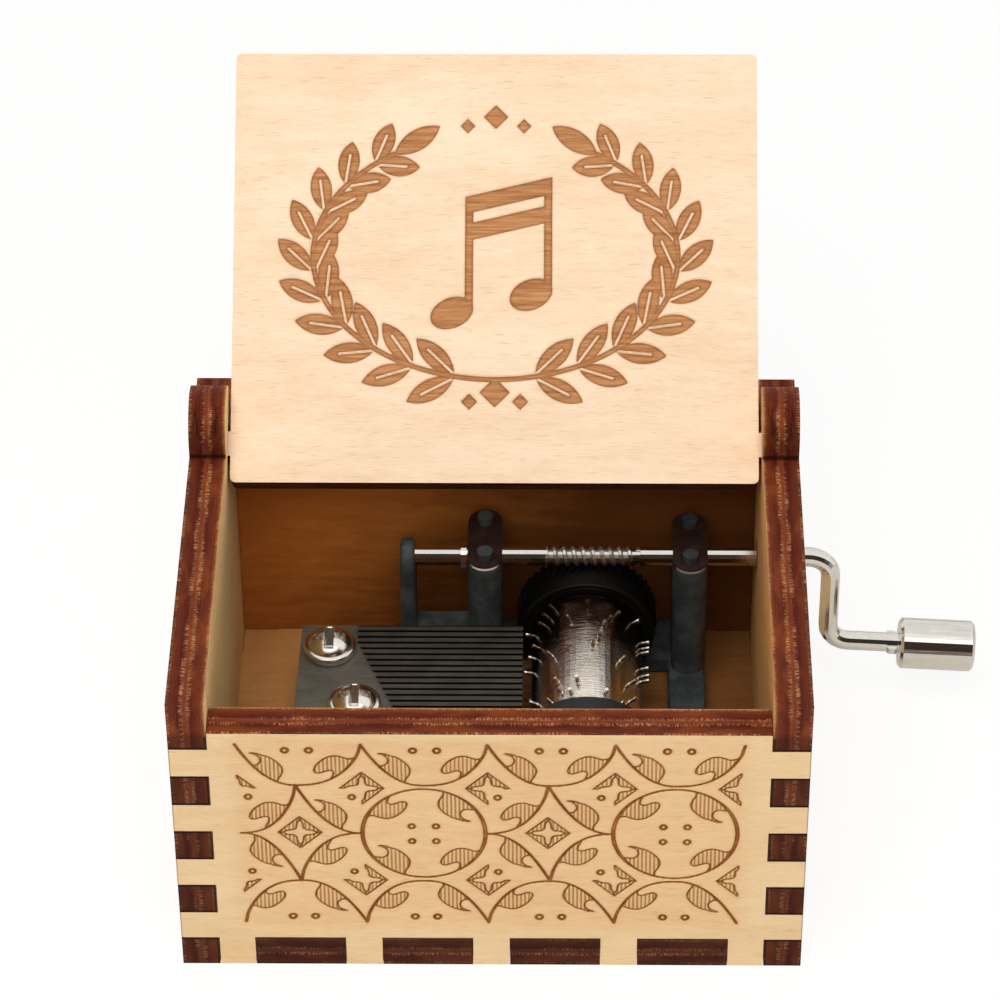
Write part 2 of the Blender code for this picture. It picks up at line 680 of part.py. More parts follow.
hub = [
    (FLANGE_RADIUS, flange_top),
    (FLANGE_RADIUS, 0.0002),
    (FLANGE_RADIUS - 0.0002, 0.0),
    (CYLINDER_RADIUS - CYLINDER_WALL - 0.00003, 0.0),
    (CYLINDER_RADIUS - CYLINDER_WALL - 0.00003, -0.0012),
    (cap_inner, -0.0012),
    (cap_inner, flange_top),
]
add(wheel, lathe("cut_hub", hub, at=(CYLINDER_X, WHEEL_FRONT, CYLINDER_Z), turn=TO_BACK, steps=72, ring=True))

# Crank shaft: one wire, its thread rolled where it meets the wheel, bent to a crank outside the case
leg_x = HALF_WIDTH + BEND_OUT + TOP_BEND
shaft_start = arm_x - ARM_THICKNESS / 2 + 0.0001
worm_half = (WORM_TURNS / 2 + 0.2) * WORM_PITCH
path = [(shaft_start, 0.0, 1.0)]
shrink = WORM_ROOT / ROD_RADIUS
worm_x = CYLINDER_X + WORM_SHIFT
for x, radius in (
    (worm_x - worm_half - 0.0001, 1.0),
    (worm_x - worm_half, shrink),
    (worm_x + worm_half, shrink),
    (worm_x + worm_half + 0.0001, 1.0),
):
    path.append((x, 0.0, radius))
for x, z in circle(leg_x - TOP_BEND, -TOP_BEND, TOP_BEND, 8, math.pi / 2, -math.pi / 2):
    path.append((x, z, 1.0))
knob_x = HALF_WIDTH + KNOB_START
knob_z = -THROW - 0.0004
low_x = leg_x + BOTTOM_BEND
foot_x = low_x - BOTTOM_BEND * math.sin(HANDLE_SLOPE)
foot_z = knob_z + (knob_x - foot_x) * math.tan(HANDLE_SLOPE)
bend_z = foot_z + BOTTOM_BEND * math.cos(HANDLE_SLOPE)
for x, z in circle(low_x, bend_z, BOTTOM_BEND, 8, math.pi, math.pi / 2 - HANDLE_SLOPE):
    path.append((x, z, 1.0))
slope = Vector((math.cos(HANDLE_SLOPE), 0.0, -math.sin(HANDLE_SLOPE)))
bore_depth = KNOB_LENGTH * 0.8
rod_end = Vector((knob_x, 0.0, knob_z)) + slope * (bore_depth - 0.0002)
path.append((rod_end.x, rod_end.z, 1.0))


def wire(name, points, radius, resolution):
    """The mesh of a round wire through (x, y, z, share of the radius) points."""
    curve = bpy.data.curves.new(name, "CURVE")
    curve.dimensions = "3D"
    curve.fill_mode = "FULL"
    curve.bevel_depth = radius
    curve.bevel_resolution = resolution
    curve.use_fill_caps = True
    spline = curve.splines.new("POLY")
    spline.points.add(len(points) - 1)
    for point, (x, y, z, share) in zip(spline.points, points):
        point.co = (x, y, z, 1)
        point.radius = share
    holder = bpy.data.objects.new(name, curve)
    mesh = bpy.data.meshes.new_from_object(holder)
    bpy.data.objects.remove(holder)
    mesh.name = name
    tidy(mesh)
    return mesh


shaft_at = (0.0, SHAFT_Y, SHAFT_Z)
rod = wire("crank_shaft", [(x, 0.0, z, share) for x, z, share in path], ROD_RADIUS, 5)
NICKEL = ((0.80, 0.79, 0.76), 0.16, 1.0)
shaft = place("crank_shaft", rod, NICKEL, shaft_at, smooth=True)
thread_radius = 0.00026
helix_radius = WORM_CREST - thread_radius
helix = []
for number in range(round(WORM_TURNS * 14) + 1):
    turns = number / 14 - WORM_TURNS / 2 + WORM_SHIFT / WORM_PITCH
    angle = math.tau * turns - math.pi / 2
    helix.append(
        (
            CYLINDER_X + WORM_PITCH * turns,
            helix_radius * math.cos(angle),
            helix_radius * math.sin(angle),
            1.0,
        )
    )
add(shaft, place("cut_thread", wire("cut_thread", helix, thread_radius, 1), at=shaft_at))
collar_x = LEFT_POST - POST_WIDTH / 2 - 0.00015
collar = circle(SHAFT_Y, SHAFT_Z, 0.0015, 24)
add(shaft, sideways("cut_collar", [collar], collar_x - 0.0006, collar_x))
ear_mesh = sheet("cut_ears", [rounded(-0.0006, -0.00155, 0.0006, 0.00155, 0.0004, 3)], 0.0007)
ears_at = Vector(shaft_at) + Vector((knob_x, 0.0, knob_z)) - slope * 0.0008
add(shaft, place("cut_ears", ear_mesh, at=ears_at, turn=(0, HANDLE_SLOPE, 0)))

# Knob, free on the crank's handle
bore_radius = ROD_RADIUS + FIT
chamfer = 0.0003
knob = [
    (0.0, KNOB_LENGTH),
    (KNOB_RADIUS - chamfer, KNOB_LENGTH),
    (KNOB_RADIUS, KNOB_LENGTH - chamfer),
    (KNOB_RADIUS, chamfer),
    (KNOB_RADIUS - chamfer, 0.0),
    (bore_radius, 0.0),
    (bore_radius, bore_depth),
    (0.0, bore_depth),
]
knob_at = Vector(shaft_at) + Vector((knob_x, 0.0, knob_z))
lathe("crank_knob", knob, NICKEL, knob_at, (0, math.pi / 2 + HANDLE_SLOPE, 0), steps=40)
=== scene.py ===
"""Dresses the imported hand-crank music box: laser-cut birch plywood, engraved front and lid, and a plated movement."""

import bmesh
import bpy
import math
import numpy as np
from mathutils import Matrix, Vector


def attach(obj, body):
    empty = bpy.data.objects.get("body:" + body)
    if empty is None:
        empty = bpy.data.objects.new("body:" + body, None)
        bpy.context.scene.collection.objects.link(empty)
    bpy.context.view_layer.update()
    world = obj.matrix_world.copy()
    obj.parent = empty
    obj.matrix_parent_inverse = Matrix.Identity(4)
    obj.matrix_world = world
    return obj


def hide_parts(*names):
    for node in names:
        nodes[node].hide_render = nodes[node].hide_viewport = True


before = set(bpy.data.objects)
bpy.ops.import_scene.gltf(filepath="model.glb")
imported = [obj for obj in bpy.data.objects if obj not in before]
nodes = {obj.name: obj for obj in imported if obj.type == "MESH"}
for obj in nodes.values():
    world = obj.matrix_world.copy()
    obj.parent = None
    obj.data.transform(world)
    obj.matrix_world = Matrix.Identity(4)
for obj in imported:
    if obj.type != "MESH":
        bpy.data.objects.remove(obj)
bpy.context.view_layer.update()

# Bare case panels
# Birch plywood 3.85 mm thick, cut by laser: pale veneer with a fine lengthwise grain on the faces, and edges
# scorched dark red-brown, in which the plies show as bands. The fingers are pressed together and glued.
RIGHT, LEFT, BACK, FRONT, UP = (1, 0, 0), (-1, 0, 0), (0, 1, 0), (0, -1, 0), (0, 0, 1)
PLY = 3.85
HALF_WIDTH, HALF_DEPTH = 32.0, 25.7
FRONT_RISE, WALL_RISE, EAR_FRONT = 28.85, 32.75, 12.6
STREAKS = (29.1, 31.2)
INNER_CORNER = 22.0
FINGER_PITCH, PALE_FINGER = 7.669, 3.643
VENEER = ((229, 202, 161), (217, 184, 139))
# Char; also the colour of painted shade on the side panels' edges and on the lid's tail.
CHAR_AND_SHADE = (16, 6, 4)
FLECK = (214, 160, 116)
EDGE_BANDS = (
    (0.0, (72, 32, 17)), (0.07, (98, 46, 26)), (0.17, (104, 42, 22)), (0.3, (86, 27, 13)), (0.38, (76, 21, 10)),
    (0.44, (118, 52, 28)), (0.56, (128, 62, 34)), (0.63, (80, 24, 12)), (0.72, (96, 36, 18)), (0.86, (112, 48, 22)),
    (0.95, (126, 64, 34)), (0.98, (178, 124, 80)), (1.0, (190, 140, 94)),
)  # fmt: skip


def paint(colour):
    """A colour written as it looks on screen, 0 to 255, as the shader's own linear values."""
    share = np.array(colour) / 255
    linear = np.where(share > 0.04045, ((share + 0.055) / 1.055) ** 2.4, share / 12.92)
    return (*(float(part) for part in linear), 1.0)


class Wire:
    """A socket in a finish's node tree. Sums on it add Math nodes, so the shader's maths reads as plain maths."""

    def __init__(self, tree, socket=None):
        self.tree, self.socket = tree, socket

    def node(self, kind, settings=(), sockets=(), output=0):
        """Adds one node: its settings first, then its sockets' values or links, each by its name or number."""
        made = self.tree.nodes.new("ShaderNode" + kind)
        for name, value in dict(settings).items():
            if name == "stops":
                ramp = made.color_ramp.elements
                ramp.remove(ramp[1])
                ramp[0].position, ramp[0].color = value[0][0], paint(value[0][1])
                for at, colour in value[1:]:
                    ramp.new(at).color = paint(colour)
            else:
                setattr(made, name, value)
        for name, value in dict(sockets).items():
            if isinstance(value, Wire):
                self.tree.links.new(value.socket, made.inputs[name])
            else:
                made.inputs[name].default_value = value
        return Wire(self.tree, made.outputs[output] if made.outputs else None)

    def maths(self, operation, *values):
        """One Math node on wires or numbers."""
        return self.node("Math", {"operation": operation}, enumerate(values))

    def __add__(self, other):
        return self.maths("ADD", self, other)

    def __sub__(self, other):
        return self.maths("SUBTRACT", self, other)

    def __rsub__(self, other):
        return self.maths("SUBTRACT", other, self)

    def __mul__(self, other):
        return self.maths("MULTIPLY", self, other)

    def __truediv__(self, other):
        return self.maths("DIVIDE", self, other)

    def __pow__(self, other):
        return self.maths("POWER", self, other)

    def __abs__(self):
        return self.maths("ABSOLUTE", self)

    __radd__, __rmul__ = __add__, __mul__

    def least(self, other):
        """The smaller of the two."""
        return self.maths("MINIMUM", self, other)

    def most(self, other):
        """The greater of the two."""
        return self.maths("MAXIMUM", self, other)

    def round_to(self, pitch):
        """The place within its own pitch, from 0 to pitch."""
        return self.maths("FLOORED_MODULO", self, pitch)

    def rise(self, low, high):
        """0 before low and 1 past high, smooth between; low may be the greater."""
        ends = {"Value": self, "From Min": low, "From Max": high}
        return self.node("MapRange", {"interpolation_type": "SMOOTHSTEP"}, ends)

    def along(self, direction):
        """A place or normal measured along a direction."""
        return self.node("VectorMath", {"operation": "DOT_PRODUCT"}, {0: self, 1: tuple(direction)}, 1)

    def spot(self, x, y, z):
        """A place made of three wires or numbers."""
        return self.node("CombineXYZ", (), {0: x, 1: y, 2: z})

    def field(self, name):
        """A number that the piece's mesh carries at its vertices."""
        return self.node("Attribute", {"attribute_name": name}, output=2)

    def cloud(self, spot, scale=1.0, detail=2.0, roughness=0.5):
        """Smooth noise about 0.5; at a stretched spot it is a grain."""
        return self.node("TexNoise", (), {"Vector": spot, "Scale": scale, "Detail": detail, "Roughness": roughness})

    def mix(self, share, first, second, mode="MIX"):
        """A colour between two others, each a wire or a colour as paint() takes it."""
        first, second = (c if isinstance(c, Wire) else paint(c) for c in (first, second))
        return self.node("Mix", {"data_type": "RGBA", "blend_type": mode}, {0: share, 6: first, 7: second}, 2)

    def relief(self, height, depth):
        """The normal over a relief whose height, 0 to 1, stands for depth in metres."""
        return self.node("Bump", (), {"Height": height, "Distance": depth})

    def surface(self, **sockets):
        """Ends the tree with the main shader; an underscore stands for a blank in a socket's name."""
        shader = self.node("BsdfPrincipled", (), {name.replace("_", " "): v for name, v in sockets.items()})
        self.node("OutputMaterial", (), {"Surface": shader})


def finish(name):
    """A new material, its bare wire, and its object coordinates in millimetres."""
    made = bpy.data.materials.new(name)
    made.use_nodes = True
    made.node_tree.nodes.clear()
    bare = Wire(made.node_tree)
    metres = bare.node("TexCoord", output=3)
    return made, bare, bare.node("VectorMath", {"operation": "SCALE"}, {0: metres, "Scale": 1000.0})


def wear(finished, *names):
    """Gives CAD nodes a finish."""
    for name in names:
        nodes[name].data.materials.clear()
        nodes[name].data.materials.append(finished)


def plywood(name, run, rise, inward, skin, veneer, inner, char_and_shade=None, engraving=None):
    """One panel's plywood. run is the grain's direction and rise lies across it, both in the sheet; inward points from
    its outer face, which lies skin mm along inward. Faces are veneer: noises drawn out along a grain that wanders, for
    its figure, its fibres and short dark dashes. Edges are the bands of the plies, with pale ticks in the veneers and
    the middle ply where the laser's pulses left bare wood. char_and_shade, given the wire, the place and the normal, is
    a share of char and of painted shade, and engraving changes the veneer's colour, roughness and relief."""
    made, wood, place = finish(name)
    normal = wood.node("TexCoord", output=1)
    x, y, z = place.along(run), place.along(rise), place.along(inward) - skin
    facing = normal.along(inward)
    face = abs(facing).rise(0.35, 0.55)
    wander = wood.cloud(wood.spot(x * 0.05, y * 0.07, z * 0.1)) * 3.8
    w = y + wander
    broad = wood.cloud(wood.spot(x * 0.035, w * 0.12, z * 0.1))
    figure = wood.cloud(wood.spot(x * 0.16, w * 0.75, z), 1.0, 3.0, 0.6)
    fibres = wood.cloud(wood.spot(x * 0.55, w * 6.5, z), 1.0, 3.0, 0.65)
    dashes = wood.cloud(wood.spot(x * 0.5, w * 5.0, z + 40), 1.0, 1.0).rise(0.61, 0.76)
    shade = (broad * 0.45 + figure * 0.4 + fibres * 0.5).rise(0.48, 0.92)
    outer_face = wood.mix(shade, *veneer)
    colour = wood.mix(facing.rise(-0.2, 0.2), outer_face, wood.mix(shade, *inner(wood, x, y, figure)))
    colour = wood.mix(dashes * 0.42, colour, (226, 212, 196), "MULTIPLY")
    rough, height = 0.62 + fibres * 0.12, fibres * 0.8 + figure * 0.3 - dashes * 0.3
    if engraving:
        colour, rough, height = engraving(wood, place, colour, rough, height)
    share = z / PLY + (wood.cloud(wood.spot(x * 0.25, y * 0.25, z * 0.3)) - 0.5) * 0.08
    bands = wood.node("ValToRGB", {"stops": EDGE_BANDS}, {0: share})
    lengthwise = wood.cloud(wood.spot(x * 0.35, y * 0.35, z * 7.0), 1.0, 3.0, 0.7)
    pulses = wood.cloud(wood.spot(x * 11.0, y * 11.0, z * 2.0), 1.0, 2.0, 0.6)
    patches = wood.cloud(wood.spot(x * 0.22, y * 0.22, z * 0.6 + 9))
    edge = wood.mix(lengthwise.rise(0.42, 0.68) * 0.5, bands, (50, 15, 7))
    edge = wood.mix(patches.rise(0.46, 0.68) * 0.36, edge, (156, 80, 32))
    edge = wood.mix(pulses.rise(0.5, 0.75) * 0.25, edge, (30, 9, 4))
    seam = abs(abs(share - 0.5) - 0.1).rise(0.08, 0.02).most(share.rise(0.11, 0.05)).most(share.rise(0.9, 0.95))
    bare = pulses.rise(0.5, 0.4) * (patches + lengthwise * 0.5).rise(0.56, 0.9)
    edge = wood.mix(seam * bare * 0.72, edge, FLECK)
    if char_and_shade:
        edge = wood.mix(char_and_shade(wood, place, normal), edge, CHAR_AND_SHADE)
    wood.surface(
        Base_Color=wood.mix(face, edge, colour),
        Roughness=rough * face + (1 - face) * 0.6,
        Specular_IOR_Level=0.13,
        Normal=wood.relief(height * face + (1 - face) * (lengthwise * 0.6 + pulses * 0.9), 0.00006),
    )
    return made


def inner_veneer(light, dark, shade_from=None, shaded_pair=None, fall=0.0, ends=99.0):
    """The colours of an inner face as plywood() asks for them: darkened as painted shade to a second pair, from
    shade_from on along the grain and sooner towards its foot by fall, with a black line in the corner at its ends."""

    def tones(wood, x, y, figure):
        pair = [light, dark]
        # Painted shade: the pair darkens to the second pair along the grain.
        if shaded_pair:
            share = (x + figure * 18.0 - y * fall).rise(shade_from, shade_from + 36.0)
            pair = [wood.mix(share, unshaded, dim) for unshaded, dim in zip(pair, shaded_pair)]
        corner = abs(abs(x) + figure * 0.5 - ends).rise(0.24, 0.06) * 0.65
        return [wood.mix(corner, tone, CHAR_AND_SHADE) for tone in pair]

    return tones


def char_and_shade_corner(wood, place, normal):
    """Char and painted shade on an upright corner: char round each finger's end, heavier at its foot; as painted shade,
    a darker tone over the ends and the ear's front, and shade with soot in the hollow where the ear stands on the wall;
    and two streaks over the ear's crown."""
    across, depth, height = abs(place.along(RIGHT)), place.along(BACK), place.along(UP) - PLY
    step = height.round_to(FINGER_PITCH)
    finger = (step - PALE_FINGER).least(step * -1.0 + FINGER_PITCH).rise(0.5, 0.2)
    wall = HALF_WIDTH - PLY
    foot = across.rise(wall + 0.5, wall + 0.12).most(across.rise(HALF_WIDTH - 0.35, HALF_WIDTH) * 0.6)
    at_end = abs(depth).rise(HALF_DEPTH - 0.4, HALF_DEPTH - 0.2) * height.rise(FRONT_RISE - 0.15, FRONT_RISE - 0.55)
    low, ear = height.rise(FRONT_RISE + 0.55, FRONT_RISE - 0.65), height.rise(WALL_RISE + 0.15, WALL_RISE + 0.85)
    # Painted shade: edges that face front or back, on the finger ends and the ear's front, darker than the top edges.
    tone = abs(normal.along(BACK)).rise(0.6, 0.9) * (low * 0.48 + ear * 0.32)
    # Painted shade, with soot, in the hollow where the ear stands on the wall.
    hollow = ((depth - EAR_FRONT) ** 2.0 + (height - WALL_RISE) ** 2.0).rise(0.36, 0.03)
    crown = height.rise(WALL_RISE + 2.15, WALL_RISE + 2.75)
    inner, outer = (abs(across - at) for at in STREAKS)
    streaks = inner.rise(0.5, 0.2).most(outer.rise(0.4, 0.15)) * crown
    patchy = wood.cloud(wood.spot(across * 4.0, 0.0, height * 0.9)).rise(0.3, 0.6)
    streaks = streaks * depth.rise(EAR_FRONT + 2.6, EAR_FRONT + 1.6) * patchy
    return (at_end * finger.most(foot) * 0.95).most(tone).most(hollow * 0.8).most(streaks * 0.7)


def scorched_tabs(wood, place, normal):
    """Char over the bottom's tabs, blackest where they meet the walls."""
    middle, height = PLY / 2, place.along(UP)
    rim = abs(height - middle).rise(middle - 0.3, middle - 0.08)
    return rim * 0.9 + (1 - rim) * (0.57 + height.rise(middle - 0.1, middle + 0.1) * 0.12)


# The inner faces are one veneer, painted as lit and shaded copies of it: paler on the left wall, darker and oranger on
# the right wall, the back and the floor; the back and the floor darken further to the right as painted shade.
left_inside = inner_veneer((255, 222, 162), (246, 204, 136), ends=INNER_CORNER)
right_inside = inner_veneer((224, 170, 108), (206, 148, 88), ends=INNER_CORNER)
back_inside = inner_veneer((188, 114, 50), (176, 103, 43), -38.0, ((104, 60, 26), (93, 52, 21)), 1.15)
floor_inside = inner_veneer((196, 146, 92), (178, 126, 74), -6.0, ((122, 82, 46), (104, 66, 34)))
wear(plywood("birch_left", BACK, UP, RIGHT, -HALF_WIDTH, VENEER, left_inside, char_and_shade_corner), "left_side_panel")
wear(plywood("birch_right", BACK, UP, LEFT, -HALF_WIDTH, VENEER, right_inside, char_and_shade_corner), "right_side_panel")
wear(plywood("birch_back", RIGHT, UP, FRONT, -HALF_DEPTH, VENEER, back_inside), "back_panel")
wear(plywood("birch_bottom", RIGHT, BACK, UP, 0.0, VENEER, floor_inside, scorched_tabs), "bottom_panel")

# Front panel
# The same plywood, fingered into the sides, its face engraved by laser with an arabesque: a net of arcs and
# circles whose hooked leaves are hatched upright, four-pointed stars between them, and pairs of dots.
FRONT_TOP = PLY + FRONT_RISE
NOTCH = 3.93
TAB_GAP = 3.75
FINGERS, TABS = 4, 4
TOP_CUSPS = (-25.35, -12.83, -0.22, 12.55, 25.4)
FOOT_CUSPS = (-25.2, -12.75, -0.25, 12.6, 25.2)
TOP_MIDDLES = (-19.4, -6.65, 5.95, 18.7)
FOOT_MIDDLES = (-19.2, -6.65, 6.1, 18.75)
CIRCLES = ((-6.7, 6.22), (18.68, 6.27))
DIAMONDS = ((-25.2, -19.5, -19.3, -12.95), (-0.45, 5.85, 6.05, 12.4))
TOP_ROW, HIGH_ROW, MIDDLE_ROW, LOW_ROW, FOOT_ROW = 31.2, 25.6, 18.9, 12.15, 6.15
TOP_DROP, HIGH_DROP, LOW_DROP, FOOT_DROP = 5.6, 6.7, 6.75, 6.0
TOP_LEAF, HIGH_LEAF, LOW_LEAF, FOOT_LEAF = 31.75, 25.3, 12.4, 6.05
TOP_DOT, HIGH_DOT, LOW_DOT, FOOT_DOT = 30.4, 23.95, 13.45, 6.95
TOP_STAR, LOW_STAR = 25.2, 12.25
LEAF_ASIDE, DOT_ASIDE = 6.3, 5.2
CIRCLE_DOTS = ((-1.22, 1.0), (1.22, 1.0), (-1.22, -1.1), (1.22, -1.1))
STAR = ((0.0, 2.2), (2.2, 0.0), (1.75, 0.0), (1.35, 0.27), (0.62, 0.38), (0.38, 0.6), (0.27, 1.4), (0.0, 1.75))
LINE, LEAF_LINE = 0.13, 0.1
ENGRAVED, CUT_WALL = 0.16, 0.12
GRID, WORKED_X, WORKED_Z = 0.125, (-26.0, 26.0), (5.2, 32.0)
FAR, NEARBY, BATCH = 2.0, 0.8, 2_000_000
LEFT_LEAF = (
    (-4.39, -1.74), (-3.8, -1.78), (-3.2, -2.05), (-2.65, -2.25), (-2.05, -2.7), (-1.5, -3.35), (-1.25, -4.0),
    (-1.4, -4.75), (-1.75, -5.4), (-1.9, -6.5), (-3.6, -6.0), (-4.9, -4.7), (-5.5, -3.4), (-4.9, -3.3),
    (-4.2, -3.42), (-3.75, -3.3), (-3.45, -2.9), (-3.5, -2.4), (-3.85, -2.0),
)  # fmt: skip
RIGHT_LEAF = (
    (1.58, -4.2), (1.65, -3.7), (2.0, -3.1), (2.55, -2.55), (3.2, -2.17), (3.87, -2.1), (4.5, -2.3),
    (5.05, -2.5), (5.9, -2.3), (7.0, -2.4), (6.6, -4.4), (5.2, -5.9), (3.7, -6.4), (3.15, -5.6),
    (3.45, -4.8), (3.5, -4.3), (3.2, -4.08), (2.75, -4.18), (2.2, -4.42), (1.82, -4.45),
)  # fmt: skip


def smooth_ring(points, steps=5):
    """A closed smooth line through points: on each span, the cubic that leaves and meets its ends at the slope between
    their neighbours."""
    p = np.array(points, float)
    before, after, beyond = np.roll(p, 1, 0), np.roll(p, -1, 0), np.roll(p, -2, 0)
    t = np.arange(steps)[None, :, None] / steps
    a, b, c, d = (q[:, None, :] for q in (before, p, after, beyond))
    curve = b + 0.5 * t * (c - a + t * (2 * a - 5 * b + 4 * c - d + t * (3 * (b - c) + d - a)))
    return curve.reshape(-1, 2)


def to_line(spots, line, half):
    """The distance from each spot to a line of straight runs, less half its width, which may differ from run to run:
    the distance to each run's nearest point, and the least of them all."""
    start, run = line[:-1], np.diff(line, axis=0)
    share = ((spots[:, None, :] - start) * run).sum(-1) / np.maximum((run**2).sum(-1), 1e-12)
    nearest = start + np.clip(share, 0, 1)[..., None] * run
    return (np.hypot(*(spots[:, None, :] - nearest).transpose(2, 0, 1)) - half).min(1)


def within(spots, ring):
    """Whether each spot lies in a closed line: a ray to its right crosses the line an odd number of times."""
    (x0, y0), (x1, y1) = ring.T, np.roll(ring, -1, 0).T
    x, y = spots[:, :1], spots[:, 1:]
    crosses = (y0 > y) != (y1 > y)
    meets = x0 + (y - y0) * (x1 - x0) / np.where(y1 == y0, 1, y1 - y0)
    return (crosses & (x < meets)).sum(1) % 2 == 1


turn = np.linspace(0, math.tau, 90)
ROUND_LINE = np.stack([np.cos(turn), np.sin(turn)], 1)


class Engraving:
    """Fields on a face, in mm: cut is the distance outside the engraved lines, hatched that outside the hatched areas.
    Both are negative inside, and a shape only touches the spots of its own neighbourhood."""

    def __init__(self, x, y):
        self.spots = np.stack([x.ravel(), y.ravel()], 1)
        self.cut = np.full(len(self.spots), FAR)
        self.hatched = np.full(len(self.spots), FAR)

    def near(self, line):
        """The numbers of the spots in a line's neighbourhood."""
        low, high = line.min(0) - NEARBY, line.max(0) + NEARBY
        return np.flatnonzero(((self.spots > low) & (self.spots < high)).all(1))

    def stroke(self, line, half=LINE, swell=0.0):
        """A line, wider by swell where it runs upright."""
        run = np.diff(line, axis=0)
        steep = np.abs(run[:, 1]) / np.maximum(np.hypot(*run.T), 1e-9)
        width = half + swell * np.clip(2.4 * steep - 1.4, 0, 1)
        at = self.near(line)
        for part in np.array_split(at, max(1, len(at) * len(line) // BATCH)):
            self.cut[part] = np.minimum(self.cut[part], to_line(self.spots[part], line, width))

    def dot(self, x, y, radius=0.3):
        """A small ring, half filled by its own line."""
        self.stroke((x, y) + radius * ROUND_LINE, radius / 2)

    def area(self, origin, flip, ring, beyond=None):
        """A hatched area with a thin line round it, laid at origin and turned or mirrored by flip. Where beyond, a
        function of the untaken places, is above 0 it is left out."""
        at = self.near(origin + flip * ring)
        local = (self.spots[at] - origin) * flip
        away = to_line(local, np.vstack([ring, ring[:1]]), 0.0)
        inside = np.where(within(local, ring), -away, away)
        limit = beyond(local) if beyond else -np.inf
        self.cut[at] = np.minimum(self.cut[at], np.maximum(away - LEAF_LINE, limit))
        self.hatched[at] = np.minimum(self.hatched[at], np.maximum(inside, limit))


def climb(u):
    """How far an arc has climbed from its lowest point, 0 to 1, at u from -1 to 1: its left half is slack, near a
    parabola, and its right half between a circle and a cube, so that it meets the cusp steeply."""
    v = np.clip(np.abs(u), 0, 1)
    return np.where(u < 0, v**2.2, 0.55 * (1 - np.sqrt(1 - v**2)) + 0.45 * v**3)


def spray(face, middle, cusp, height, drop, flip, leaf, leaf_at):
    """Half a hanging arc from its lowest point, at middle, to a cusp, with the leaf that grows from it. flip is -1 for
    one that is turned half round."""
    wide = abs(cusp - middle)
    side = math.copysign(1, (cusp - middle) * flip)
    u = np.linspace(0, side, 26)
    origin = np.array((middle, height))
    face.stroke(origin + flip * np.stack([u * wide, (climb(u) - 1) * drop], 1), swell=0.05)
    leaf_origin = np.array(leaf_at)
    shift = flip * (leaf_origin - origin)
    face.area(leaf_origin, flip, leaf, lambda p: (climb((p[:, 0] + shift[0]) / wide) - 1) * drop - p[:, 1] - shift[1])


def arabesque(face):
    """Draws the front's pattern. The hanging arcs and leaves, turned half round, are also the rising ones."""
    leaves = {-1: smooth_ring(LEFT_LEAF), 1: smooth_ring(RIGHT_LEAF)}
    for k in range(len(TOP_MIDDLES)):
        for half, leaf in leaves.items():
            end = k + (half + 1) // 2
            top, foot = TOP_MIDDLES[k], FOOT_MIDDLES[k]
            nudge = 0.28 if half > 0 else -0.05
            spray(face, top, TOP_CUSPS[end], TOP_ROW, TOP_DROP, 1, leaf, (top + nudge, TOP_LEAF))
            end = k + (1 - half) // 2
            spray(face, foot, FOOT_CUSPS[end], FOOT_ROW, FOOT_DROP, -1, leaf, (foot - nudge, FOOT_LEAF))
            face.dot(top + 0.2 + half * 1.2, TOP_DOT, 0.32)
            face.dot(foot + half * 1.15, FOOT_DOT, 0.32)
    for x, radius in CIRCLES:
        centre = np.array((x, MIDDLE_ROW))
        face.stroke(centre + radius * ROUND_LINE, swell=0.1)
        for half, leaf in leaves.items():
            for flip in (1, -1):
                place = centre + (-0.25 * flip, 0) if half < 0 else centre + (0.1 * flip, 0)
                rim = flip * (place - centre)
                face.area(place, flip, leaf, lambda p, rim=rim, radius=radius: np.hypot(*(p + rim).T) - radius)
        for aside, above in CIRCLE_DOTS:
            face.dot(x + aside, MIDDLE_ROW + above)
    for left, high, low, right in DIAMONDS:
        for half, leaf in leaves.items():
            near, far = (right, left) if half < 0 else (left, right)
            spray(face, near, high, HIGH_ROW, HIGH_DROP, 1, leaf, (high - half * LEAF_ASIDE, HIGH_LEAF))
            spray(face, far, low, LOW_ROW, LOW_DROP, -1, leaf, (low + half * LEAF_ASIDE, LOW_LEAF))
            for height in (HIGH_DOT, LOW_DOT):
                face.dot((left + right) / 2 + half * DOT_ASIDE, height)
        star(face, (left + right) / 2 - 0.15, MIDDLE_ROW + 0.1, ((1, 1), (-1, 1), (-1, -1), (1, -1)))
    for number in range(len(TOP_CUSPS)):
        circle_side = 1 if number % 2 else -1
        up = {0: [(1, 1)], 4: [(-1, 1), (-1, -1)]}.get(number, [(1, 1), (-1, 1), (circle_side, -1)])
        down = {0: [(1, -1)], 4: [(-1, 1), (-1, -1)]}.get(number, [(1, -1), (-1, -1), (circle_side, 1)])
        size = 1.0 if number else 0.8
        star(face, TOP_CUSPS[number] + (0.05, 0, 0, 0, -0.25)[number], TOP_STAR, up, size)
        star(face, FOOT_CUSPS[number], LOW_STAR, down, size)


def star(face, x, y, quarters, size=1.0):
    """Quarters of a diamond round a four-pointed star that is left bare."""
    for quarter in quarters:
        face.area(np.array((x, y)), np.array(quarter), np.array(STAR) * size)


def even_lines(low, high, step):
    """Grid lines from low to high, even and about a step apart."""
    count = max(1, round((high - low) / step))
    return low + (high - low) * np.arange(count + 1) / count


def grid_lines(*groups):
    """The grid lines of all the groups in order, each once."""
    return np.unique(np.round(np.concatenate(groups), 5))


def sealed(shape, mesh):
    """Fills what is open in a shape, turns its faces outwards, and writes it into the mesh."""
    bmesh.ops.holes_fill(shape, edges=[edge for edge in shape.edges if edge.is_boundary], sides=0)
    bmesh.ops.recalc_face_normals(shape, faces=shape.faces)
    shape.to_mesh(mesh)
    shape.free()


def smoothed(mesh, degrees):
    """Shades a mesh smooth, apart from its edges that turn by more than this."""
    mesh.polygons.foreach_set("use_smooth", [True] * len(mesh.polygons))
    mesh.set_sharp_from_angle(angle=math.radians(degrees))


